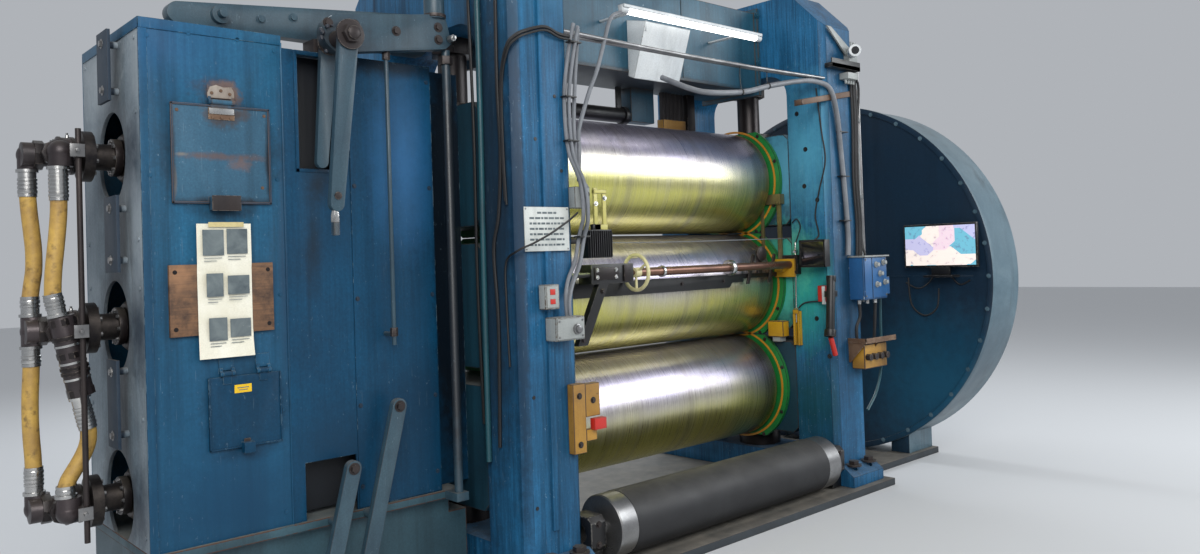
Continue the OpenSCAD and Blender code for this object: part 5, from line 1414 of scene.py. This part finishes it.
def near_post_cables():
    """Dirty steel conduits and cables on the post."""
    side = Work()
    side.pipe([(-1.497, -0.532, 3.25), (-1.497, -0.532, 2.4), (-1.497, -0.52, 1.6), (-1.497, -0.515, 0.62)],
              0.015, 10)
    side.done("side_conduit", "teal_pipe")
    dark = Work()
    dark.pipe([(-1.49, -0.684, 3.2), (-1.492, -0.672, 2.5), (-1.49, -0.68, 2.15), (-1.49, -0.65, 1.84),
               (-1.49, -0.6, 1.66), (-1.49, -0.62, 1.3), (-1.49, -0.6, 0.7)], 0.009, 8)
    dark.pipe([(-1.488, -0.44, 3.0), (-1.49, -0.46, 2.3), (-1.488, -0.45, 1.5), (-1.488, -0.47, 0.8)], 0.008,
              8)
    loop = [(-1.49, -0.71, 1.9), (-1.492, -0.7, 2.2), (-1.49, -0.705, 2.5), (-1.5, -0.77, 2.64),
            (-1.47, -0.8, 2.69), (-1.4, -0.803, 2.725), (-1.3, -0.815, 2.752), (-1.204, -0.803, 2.734),
            (-1.13, -0.802, 2.73)]
    dark.pipe(loop, 0.009, 8)
    dark.pipe([(x, yy - 0.006, z - 0.018) for x, yy, z in loop], 0.006, 8)
    dark.pipe([(-1.12, -0.81, 1.84), (-1.2, -0.835, 1.8), (-1.34, -0.86, 1.735), (-1.44, -0.85, 1.69),
               (-1.5, -0.8, 1.655), (-1.492, -0.7, 1.6), (-1.489, -0.69, 1.4), (-1.489, -0.7, 1.1)], 0.0055,
              8)
    dark.done("post_cables", "cable")
    grey = Work()
    base = [(-1.1, 2.8), (-1.147, 2.61), (-1.176, 2.405), (-1.16, 2.156), (-1.136, 1.99), (-1.122, 1.83),
            (-1.106, 1.729), (-1.14, 1.6), (-1.19, 1.506), (-1.225, 1.42), (-1.22, 1.325)]
    for k, (dx, dy) in enumerate(((0, 0), (0.026, -0.003), (0.012, -0.022))):
        path = []
        for x, z in base:
            # The cables pass in front of the small switch box and of the push-button box
            forward = 0.055 if 1.8 < z < 2.05 else 0.02 if z < 1.5 else 0
            path.append((x + dx * (1 if z > 1.5 else 0.4), -0.803 + dy - forward, z - 0.01 * k))
        grey.pipe(path, 0.0105 - 0.001 * k, 8)
    grey.pipe([(-1.067, -0.8, 2.775), (-1.098, -0.8, 2.514), (-1.116, -0.8, 2.259), (-1.098, -0.8, 2.058),
               (-1.075, -0.84, 1.965)], 0.01, 8)
    grey.done("post_cable_bundle", "pale_cable")
    straps = Work()
    for x, z in ((-1.125, 2.7), (-1.17, 2.42), (-1.163, 2.2), (-1.11, 1.72)):
        straps.box((x - 0.022, -0.835, z - 0.004), (x + 0.05, ON_POST, z + 0.004))
    straps.done("cable_straps", "black", bevel=0.001)


def knife_details():
    """Collars, plates, gauge and scrapers of the trimming gear, and the trip wire."""
    clamp = Work()
    clamp.turned((0.42, SCREW_Y, SCREW_Z), ACROSS, ring(0.028, 0.05, 0.035), 28)
    clamp.turned((-0.2, SCREW_Y, SCREW_Z), ACROSS, ring(0.0262, 0.034, 0.02), 28)
    clamp.done("knife_collars", "bright", "knife_screw_body", bevel=0.002)
    cover = Work()
    cover.box((-0.8, SCREW_Y - 0.082, SCREW_Z - 0.03), (-0.62, SCREW_Y - 0.076, SCREW_Z + 0.04))
    cover.box((-0.58, SCREW_Y - 0.084, SCREW_Z - 0.045), (-0.52, SCREW_Y - 0.076, SCREW_Z + 0.05))
    cover.done("knife_block_plates", "iron_dark", bevel=0.002)
    bolts("knife_block_bolts", front_grid(SCREW_Y - 0.082, (-0.78, -0.64),
                                          (SCREW_Z - 0.015, SCREW_Z + 0.025)),
          0.008, 0.007, "bright")
    bolts("knife_strut_bolts", front_spots(SCREW_Y - 0.076, ((-0.74, SCREW_Z - 0.09), (-0.89, 1.17))), 0.012,
          0.01, "iron")
    # Round clamp with its gauge at the right end of the rail
    dial = Work().turned((0.86, -0.402, 1.6), TO_FRONT, [(0, 0), (0, 0.05), (0.02, 0.05), (0.026, 0.04),
                                                         (0.026, 0)], 28)
    dial.box((0.84, -0.402, 1.47), (0.88, -0.38, 1.6))
    dial.done("rail_gauge", "iron", bevel=0.002)
    plates = Work()
    for x in (0.72, 0.95):
        plates.plate([(0, 0), (0.03, 0), (0.1, 0.19), (0.075, 0.2)], (x, -0.384, 1.4), ACROSS, UP, 0.01)
    plates.done("rail_scrapers", "iron", bevel=0.0015)
    bolts("rail_bolts", front_grid(-0.3795, (-0.95, -0.3, 0.1, 0.5), (1.43,)), 0.01, 0.008, "iron")
    # Trip wire along the front of the middle roll
    wire = Work().pipe([(-1.119, -0.42, 1.7), (0.0, -0.42, 1.692), (1.119, -0.42, 1.7)], 0.003, 6)
    wire.done("trip_wire", "pale_cable")
    bolts("yellow_flange_bolts", [(1.079, SCREW_Y + dy, SCREW_Z + dz, -1, 0, 0) for dy in (-0.045, 0.045)
                                  for dz in (-0.05, 0.05)], 0.009,
          0.008, "iron")


def lamp_details():
    # Near flood lamp: lens, cooling fins on its back, yoke and yellow mounting strap
    block("near_lamp_lens", "lens_glow", (-0.93, -0.6175, 1.622), (-0.78, -0.615, 1.75), 0.0008)
    fins("near_lamp_fins", 11, (-0.932, -0.686, 1.685), (0.0154, 0, 0), (0.004, 0.014, 0.14), "black")
    yoke = Work()
    yoke.box((-0.885, -0.66, 1.76), (-0.825, -0.64, 1.79))
    yoke.box((-0.877, -0.655, 1.62), (-0.833, -0.645, 1.63))
    yoke.done("near_lamp_yoke", "black", bevel=0.002)
    strap = Work()
    strap.box((-0.868, -0.655, 1.78), (-0.84, -0.645, 1.985))
    strap.box((-0.805, -0.655, 1.78), (-0.777, -0.645, 1.965))
    strap.box((-0.87, -0.66, 1.76), (-0.775, -0.64, 1.79))
    strap.box((-0.868, -0.66, 1.955), (-0.777, -0.64, 1.975))
    strap.done("near_lamp_straps", "straw", bevel=0.002)
    bolts("near_lamp_strap_bolts", front_spots(-0.655, ((-0.854, 1.9), (-0.791, 1.93))), 0.009, 0.012,
          "bright")
    block("far_lamp_lens", "lens_dark", (1.023, -0.8, 1.512), (1.025, -0.62, 1.668), 0.0005)
    rim = Work()
    for lo, hi in (((-0.812, 1.498), (-0.798, 1.682)), ((-0.622, 1.498), (-0.608, 1.682)),
                   ((-0.812, 1.498), (-0.608, 1.512)), ((-0.812, 1.668), (-0.608, 1.682))):
        rim.box((1.019, lo[0], lo[1]), (1.026, hi[0], hi[1]))
    rim.done("far_lamp_rim", "black", bevel=0.0015)
    fins("far_lamp_fins", 9, (1.085, -0.79, 1.59), (0, 0.02, 0), (0.014, 0.004, 0.15), "black")
    # Rounded glowing cover under the white spine of the tube lamp
    y, z = -0.571, 3.012
    Work().bar((-0.49, y, z), (0.678, y, z), 0.0215, 28).done("lamp_cover", "tube_glow", bevel=0.004)
    caps = Work()
    for x, side in ((-0.541, 1), (0.729, -1)):
        caps.turned((x, y, z), (side, 0, 0), [(0, 0), (0, 0.0155), (0.006, 0.0218), (0.052, 0.0218),
                                              (0.052, 0.0)], 28)
    caps.done("lamp_caps", "white", bevel=0.001)
    spine = Work().box((-0.536, y - 0.026, 3.02), (0.724, y + 0.026, 3.042))
    for x in (0.589, -0.401):
        spine.box((x, y + 0.02, 3.027), (x + 0.03, -0.2403, 3.039))
    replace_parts(spine.done("lamp_spine", "white", bevel=0.004), "tube_lamp")
    block("vent_box_edge", "white", (-0.16, -0.4, 2.98), (-0.154, -0.26, 3.04), 0.001)


def far_post_details():
    """Fittings on the inner face of the far housing."""
    x = INNER
    bars = Work()
    bars.box((x - 0.034, -0.272, 1.44), (x - 0.022, -0.244, 2.0))
    bars.box((x - 0.034, -0.42, 1.44), (x - 0.022, -0.385, 1.98))
    bars.box((x - 0.045, -0.43, 1.94), (INSIDE, -0.24, 2.01))
    bars.bar((x - 0.05, -0.258, 1.96), (x - 0.02, -0.258, 1.96), 0.014, 12)
    bars.bar((x - 0.05, -0.402, 1.95), (x - 0.02, -0.402, 1.95), 0.014, 12)
    bars.done("hanging_bars", "straw_steel", bevel=0.002)
    flange = Work().box((x - 0.05, -0.53, 1.432), (x - 0.036, -0.36, 1.56))
    flange.bar((x - 0.1, -0.44, 1.5), (x - 0.04, -0.44, 1.5), 0.03, 16)
    flange.done("screw_flange", "yellow", bevel=0.002)
    rods = Work()
    rods.bar((x - 0.02, -0.522, 1.67), (x - 0.02, -0.508, 1.12), 0.006, 10)
    rods.box((x - 0.03, -0.53, 1.6), (INSIDE, -0.51, 1.62))
    rods.box((x - 0.03, -0.53, 1.2), (INSIDE, -0.5, 1.22))
    rods.done("upright_wire_rod", "bright", bevel=0.001)
    block("alarm_box", "red", (x - 0.045, -0.8, 1.266), (INSIDE, -0.705, 1.374), 0.004)
    block("alarm_box_band", "white", (x - 0.048, -0.765, 1.25), (x - 0.04, -0.74, 1.37), 0.001)
    block("yellow_box", "yellow", (x - 0.07, -0.43, 1.02), (INSIDE, -0.3, 1.13), 0.005)
    block("yellow_box_gland", "grey", (x - 0.06, -0.4, 0.985), (INSIDE, -0.33, 1.02), 0.003)
    bars = Work()
    bars.box((x - 0.03, -0.505, 0.965), (INSIDE, -0.486, 1.2))
    bars.box((x - 0.03, -0.54, 0.965), (INSIDE, -0.521, 1.2))
    bars.box((x - 0.034, -0.535, 1.18), (x - 0.028, -0.49, 1.21))
    bars.done("yellow_bars", "yellow", bevel=0.002)
    ram = Work()
    ram.bar((1.062, -0.822, 1.42), (1.0, -0.842, 1.06), 0.028, 20)
    ram.bar((1.006, -0.84, 1.09), (0.996, -0.843, 1.045), 0.038, 20)
    ram.bar((1.064, -0.821, 1.4), (1.068, -0.82, 1.44), 0.032, 20)
    ram.box((1.04, -0.83, 1.3), (1.12, -0.78, 1.34))
    ram.done("black_torch", "black", bevel=0.002)
    piece = Work()
    piece.bar((1.005, -0.842, 1.04), (1.05, -0.842, 0.92), 0.017, 16)
    piece.done("torch_handle", "red", bevel=0.002)
    thin = Work()
    thin.pipe([(x - 0.01, -0.73, 2.7), (x - 0.008, -0.758, 2.415), (x - 0.008, -0.78, 2.21),
               (x - 0.008, -0.724, 2.015), (x - 0.008, -0.685, 1.849), (x - 0.012, -0.71, 1.72),
               (x - 0.05, -0.7, 1.68)], 0.005, 8)
    thin.pipe([(x - 0.01, -0.495, 1.804), (x - 0.008, -0.53, 1.83), (x - 0.01, -0.56, 1.79),
               (x - 0.01, -0.555, 1.75), (x - 0.02, -0.522, 1.66)], 0.004, 8)
    thin.pipe([(x - 0.02, -0.481, 1.135), (x - 0.015, -0.52, 1.21), (x - 0.01, -0.577, 1.255),
               (x - 0.02, -0.706, 1.269)], 0.005, 8)
    thin.done("inner_face_cables", "cable")
    bolts("inner_face_bolts", [(x, y, z, -1, 0, 0) for y, z in ((-0.62, 2.3), (-0.7, 1.95), (-0.6, 2.05),
                                                                (-0.66, 1.15), (-0.56, 2.55), (-0.75, 0.9))],
          0.011, 0.008, "black", sides=6)


def control_details():
    """Control box with its door, operators and cable glands, the blue box beside it and the shelf."""
    y = FRONT - 0.113
    block("control_box_door", "switch_blue", (1.33, y - 0.006, 1.275), (1.605, y, 1.55), 0.004)
    block("control_box_hood", "grey", (1.31, y - 0.02, 1.552), (1.625, ON_POST, 1.564), 0.003)
    block("control_box_seam", "lens_dark", (1.418, y - 0.0075, 1.277), (1.424, y - 0.006, 1.548))
    knobs = Work()
    for x, z in ((1.47, 1.5), (1.56, 1.512), (1.515, 1.438), (1.475, 1.365), (1.575, 1.378)):
        knobs.turned((x, y - 0.006, z), TO_FRONT, [(0, 0), (0, 0.021), (0.006, 0.021), (0.008, 0.014),
                                                   (0.026, 0.014), (0.028, 0.009), (0.028, 0)], 22)
    knobs.done("control_box_knobs", "grey", bevel=0.001)
    screws("control_box_screws", front_grid(y - 0.006, (1.342, 1.592), (1.29, 1.535)), 0.006, 0.004,
           "steel")
    blue = Work().box((1.625, FRONT - 0.09, 1.29), (1.69, FRONT + 0.03, 1.41))
    blue.box((1.482, FRONT, 1.3), (1.63, FRONT + 0.03, 1.34))
    blue.done("side_blue_box", "switch_blue", bevel=0.004)
    shelf = Work()
    shelf.box((1.28, FRONT - 0.14, 0.975), (1.66, ON_POST, 0.985))
    shelf.box((1.28, FRONT - 0.14, 0.985), (1.286, ON_POST, 1.01))
    shelf.box((1.28, FRONT - 0.14, 0.985), (1.66, FRONT - 0.134, 1.01))
    for x in (1.29, 1.46):
        shelf.plate([(0, 0), (0.12, 0), (0.12, -0.012), (0.012, -0.13), (0, -0.13)], (x, ON_POST, 0.976),
                    TO_FRONT, UP, 0.006)
    shelf.done("post_shelf", "rust", bevel=0.001)
    block("yellow_valve_block", "old_yellow", (1.32, FRONT - 0.1, 0.8), (1.6, ON_POST, 0.965), 0.006)
    ports = Work()
    for k in range(4):
        ports.bar((1.35 + 0.07 * k, FRONT - 0.135, 0.88), (1.35 + 0.07 * k, FRONT - 0.098, 0.88), 0.022, 16)
    ports.done("valve_ports", "iron", bevel=0.002)
    glands = Work()
    for x in (1.35, 1.45, 1.55):
        glands.bar((x, FRONT - 0.055, 1.266), (x, FRONT - 0.055, 1.235), 0.014, 8)
    glands.done("control_box_glands", "bright", bevel=0.001)
    pipes = Work()
    pipes.pipe([(1.35, FRONT - 0.055, 1.24), (1.36, FRONT - 0.05, 1.15), (1.33, FRONT - 0.04, 1.08),
                (1.33, FRONT - 0.04, 0.99)], 0.011, 8)
    pipes.pipe([(1.55, FRONT - 0.055, 1.24), (1.56, FRONT - 0.04, 1.1), (1.56, FRONT - 0.03, 0.99)], 0.011, 8)
    pipes.done("control_box_tails", "cable")
    green = Work().pipe([(1.66, FRONT - 0.03, 1.292), (1.668, FRONT - 0.02, 1.1), (1.664, FRONT - 0.015, 0.8),
                         (1.6, FRONT - 0.01, 0.62), (1.47, FRONT - 0.012, 0.5)], 0.01, 8)
    green.done("green_line", "teal_pipe")


def top_details():
    """Lines and small gear that hang across the front at the top."""
    lines = Work()
    for k, dy in enumerate((0, -0.03)):
        lines.pipe([(-1.118, -0.7 + dy, 2.765 + 0.012 * k), (-0.4, -0.7 + dy, 2.765), (0.4, -0.7 + dy, 2.765),
                    (1.16, -0.74 + dy, 2.765)],
                   0.011, 10)
    lines.done("cross_lines", "steel")
    cable = Work()
    cable.pipe([(-0.06, -0.42, 2.7), (-0.05, -0.5, 2.66), (0.0, -0.62, 2.6), (0.08, -0.7, 2.577),
                (0.364, -0.72, 2.606), (0.619, -0.72, 2.668), (0.889, -0.735, 2.722), (1.034, -0.77, 2.732),
                (1.15, -0.81, 2.69), (1.215, -0.815, 2.53), (1.25, -0.812, 2.294), (1.285, -0.812, 1.951),
                (1.3, -0.812, 1.7), (1.29, -0.812, 1.57)], 0.017, 10)
    cable.done("looped_conduit", "pale_cable")
    ties = Work()
    for x, z in ((0.33, 2.6), (0.6, 2.664)):
        ties.bar((x - 0.004, -0.72, z), (x + 0.004, -0.72, z), 0.021, 12)
        ties.pipe([(x, -0.72, z + 0.015), (x, -0.712, 2.7), (x, -0.715, 2.775)], 0.003, 6)
    for z in (2.4, 2.1, 1.8):
        ties.box((1.23, -0.832, z), (1.32, ON_POST, z + 0.008))
    ties.done("conduit_ties", "black", bevel=0.001)
    diag = Work()
    diag.pipe([(-0.52, -0.56, 3.0), (-0.7, -0.66, 2.92), (-0.82, -0.73, 2.764), (-0.899, -0.75, 2.595),
               (-0.969, -0.752, 2.457), (-1.052, -0.765, 2.269), (-1.085, -0.8, 2.165), (-1.1, -0.806, 2.0)],
              0.011, 10)
    diag.done("lamp_feed", "pale_cable")


def far_post_top():
    """Camera on its bracket, brown channel, and valve manifold with its pipes on the far post."""
    bracket = Work()
    outline = [(0, 0), (0.05, 0), (0.3, -0.14), (0.3, -0.19), (0.24, -0.19)]
    bracket.plate(outline, (1.13, -0.82, 3.11), ACROSS, UP, -0.012)
    bracket.box((1.36, -0.835, 2.84), (1.46, ON_POST, 2.97))
    bracket.done("camera_bracket", "grey", bevel=0.002)
    cam = Work().bar((1.33, -0.9, 2.95), (1.41, -0.82, 2.955), 0.038, 24)
    cam.bar((1.322, -0.908, 2.9495), (1.332, -0.898, 2.95), 0.043, 24)
    cam.done("camera_body", "white", bevel=0.003)
    Work().bar((1.319, -0.911, 2.949), (1.324, -0.906, 2.9497), 0.026, 20).done("camera_glass", "lens_dark")
    channel = Work()
    channel.box((1.13, -0.85, 2.83), (1.47, ON_POST, 2.86))
    channel.box((1.13, -0.85, 2.83), (1.47, -0.843, 2.89))
    channel.done("top_channel", "black", bevel=0.002)
    arm = Work().plate([(0, 0), (0.7, 0.13), (0.7, 0.17), (0, 0.04)], (0.8, -0.8, 2.545), ACROSS, UP, -0.03)
    arm.bar((0.8, -0.84, 2.565), (0.8, -0.79, 2.565), 0.018, 14)
    arm.done("brown_channel", "brown", bevel=0.003)
    manifold = Work().box((1.3, -0.86, 2.765), (1.42, ON_POST, 2.81))
    for k in range(4):
        manifold.bar((1.315 + 0.03 * k, -0.83, 2.77), (1.315 + 0.03 * k, -0.83, 2.735), 0.009, 10)
    manifold.done("valve_manifold", "grey", bevel=0.002)
    dark = Work()
    for k, (x, w) in enumerate(((1.44, 0.012), (1.465, 0.01), (1.41, 0.008))):
        dark.pipe([(x, -0.803, 2.83), (x + 0.01, -0.803, 2.5), (x - 0.006, -0.803, 2.1),
                   (x + 0.012, -0.803, 1.8), (x, -0.803, 1.565)], w, 8)
    dark.pipe([(1.46, -0.81, 2.8), (1.52, -0.8, 2.72), (1.53, -0.77, 2.45), (1.51, -0.77, 2.1),
               (1.53, -0.77, 1.7), (1.52, -0.8, 1.57)],
              0.009, 8)
    dark.done("far_post_cables", "cable")
    steel = Work()
    for x, z0 in ((1.572, 3.0), (1.6, 2.9)):
        steel.pipe([(x, -0.742, z0), (x, -0.742, 2.2), (x, -0.742, 1.565)], 0.012, 10)
    steel.done("far_post_pipes", "steel")


def behind_top_roll():
    """Gear that hangs from the beam."""
    block("beam_junction_box", "beam", (0.2, 0.12, 2.52), (0.42, 0.22, 2.7505), 0.004)
    fins("beam_slats", 6, (0.53, 0.15, 2.64), (0.038, 0, 0), (0.018, 0.03, 0.22), "iron")
    block("slat_base", "old_yellow", (0.51, 0.12, 2.49), (0.74, 0.18, 2.56), 0.003)
    block("slat_side_plate", "iron_dark", (0.75, 0.11, 2.49), (0.83, 0.19, 2.7505), 0.003)
    piece = Work()
    piece.bar((-0.42, 0.16, 2.56), (0.17, 0.16, 2.56), 0.05, 24)
    piece.bar((0.14, 0.16, 2.56), (0.175, 0.16, 2.56), 0.062, 24)
    piece.box((-0.4, 0.15, 2.58), (-0.36, 0.17, 2.7505))
    piece.box((0.1, 0.15, 2.58), (0.14, 0.17, 2.7505))
    piece.done("beam_roller", "black", bevel=0.002)


def drum_details():
    bolts("drum_bolts", round_spots(DRUM_X - 0.01, 0, MID_Z, DRUM_R - 0.019, DRUM_BOLTS, -1), 0.011, 0.008,
          "rim")
    seams = Work()
    for a in (0.35, 1.2, 2.05, 2.9, 3.75, 4.6, 5.45):
        d = Vector((0, math.cos(a), math.sin(a)))
        t = Vector((0, -math.sin(a), math.cos(a)))
        p = Vector((DRUM_X + 0.055, 0, MID_Z)) + d * (DRUM_R - 0.001)
        length = DRUM_FAR - DRUM_X - 0.06
        seams.plate([(0, -0.02), (length, -0.02), (length, 0.02), (0, 0.02)], p, ACROSS, t, 0.004)
    seams.done("drum_seam_straps", "rim", bevel=0.001)
    cross = Work()
    cross.box((DRUM_X - 0.003, -1.22, MID_Z - 0.005), (DRUM_X, 1.22, MID_Z + 0.005))
    cross.done("drum_face_seam", "drum", bevel=0.001)
    # Neck cover in the middle of the guard's face
    neck = Work().turned((DRUM_X, 0, MID_Z), (-1, 0, 0), [(0, 0.145), (0, 0.22), (0.014, 0.22), (0.018, 0.2),
                                                          (0.018, 0.145)], 48)
    neck.done("drum_neck_ring", "rim", bevel=0.001)
    # The screen's picture and its cables
    sx = DRUM_X - 0.07
    block("screen_glass", "screen", (sx - 0.0012, -1.278, 1.472), (sx, -0.742, 1.758))
    stand = Work()
    stand.box((sx, -1.08, 1.4), (sx + 0.02, -0.94, 1.46))
    stand.box((sx - 0.05, -1.12, 1.385), (DRUM_X, -0.9, 1.4))
    stand.done("screen_shelf", "black", bevel=0.002)
    wires = Work()
    x = DRUM_X - 0.008
    wires.pipe([(DRUM_X - 0.02, -0.96, 1.48), (x, -0.9, 1.36), (x, -0.8, 1.3), (x, -0.7, 1.345)], 0.005, 8)
    wires.pipe([(x, -1.05, 1.4), (x, -1.12, 1.33), (x, -1.2, 1.36)], 0.005, 8)
    wires.pipe([(x, -0.72, 1.38), (x, -0.74, 1.18), (x, -0.84, 1.1), (x, -0.94, 1.16),
                (x, -0.96, 1.3)], 0.006, 8)
    wires.done("screen_wires", "cable")


def back_details():
    """Bolts and seams of the hidden sides, as on the front."""
    low, high = node_box("casing_back")
    y = high[1]
    xs = (low[0] + 0.03, high[0] - 0.03)
    zs = [low[2] + 0.06 + k * (high[2] - low[2] - 0.12) / 6 for k in range(7)]
    middle = [((xs[0] + xs[1]) / 2, z) for z in (zs[0], zs[-1])]
    bolts("casing_back_bolts", [(x, y, z, 0, 1, 0) for x, z in [(x, z) for x in xs for z in zs] + middle],
          0.01, 0.006, "case", sides=8, washer=1.4)
    low, high = node_box("casing_top")
    ys = [low[1] + 0.05 + k * (high[1] - low[1] - 0.1) / 4 for k in range(5)]
    bolts("casing_top_bolts", [(x, y, high[2], 0, 0, 1) for x in (low[0] + 0.03, high[0] - 0.03) for y in ys],
          0.01, 0.006, "case", sides=8, washer=1.4)
    bolts("drum_back_bolts", round_spots(DRUM_FAR, 0, MID_Z, DRUM_R - 0.055, DRUM_BOLTS, 1), 0.011, 0.008,
          "rim")
    block("drum_back_seam", "drum", (DRUM_FAR, -1.28, MID_Z - 0.004), (DRUM_FAR + 0.003, 1.28, MID_Z + 0.004),
          0.001)


def stage():
    size, low = 30, -0.001
    mesh = bpy.data.meshes.new("floor")
    mesh.from_pydata([(-size, -size, low), (size, -size, low), (size, size, low), (-size, size, low)], [],
                     [(0, 1, 2, 3)])
    floor = bpy.data.objects.new("floor", mesh)
    material, _, shader = new_material("pale_floor")
    shader.inputs["Base Color"].default_value = (0.62, 0.63, 0.64, 1)
    shader.inputs["Roughness"].default_value = 0.6
    mesh.materials.append(material)
    bpy.context.scene.collection.objects.link(floor)


def light(name, place, target, energy, size, colour=(1, 1, 1)):
    data = bpy.data.lights.new(name, "AREA")
    data.energy = energy
    data.size = size
    data.color = colour
    lamp = bpy.data.objects.new(name, data)
    lamp.location = place
    lamp.rotation_euler = (Vector(target) - Vector(place)).to_track_quat("-Z", "Y").to_euler()
    bpy.context.scene.collection.objects.link(lamp)


def lights():
    world = bpy.data.worlds.new("soft_room")
    bpy.context.scene.world = world
    world.use_nodes = True
    back = world.node_tree.nodes["Background"]
    back.inputs["Color"].default_value = (0.86, 0.9, 0.96, 1)
    back.inputs["Strength"].default_value = 0.5
    light("key_light", (-5.5, -6.5, 5.5), (-1.0, 0, 1.4), 520, 4.5, (1.0, 0.98, 0.95))
    light("fill_light", (5.5, -6.0, 4.5), (0.8, 0, 1.4), 330, 4.5, (0.95, 0.98, 1.0))
    light("back_light", (2.0, 6.0, 6.0), (0, 0, 1.5), 380, 4.0, (0.9, 0.95, 1.0))
    scene = bpy.context.scene
    scene.view_settings.view_transform = "Standard"
    scene.view_settings.look = "None"


photo_camera()
dress_nodes()
for make in (casing_details, upper_hatch_details, lower_hatch_details, board_screws, notice, guard_details,
             lever_details, link_details, union_details, tee_details, hoses, housing_details, roller_cover,
             near_post_details, near_post_cables, knife_details, lamp_details, far_post_details,
             control_details, top_details, far_post_top, behind_top_roll, drum_details, back_details):
    make()
stage()
lights()
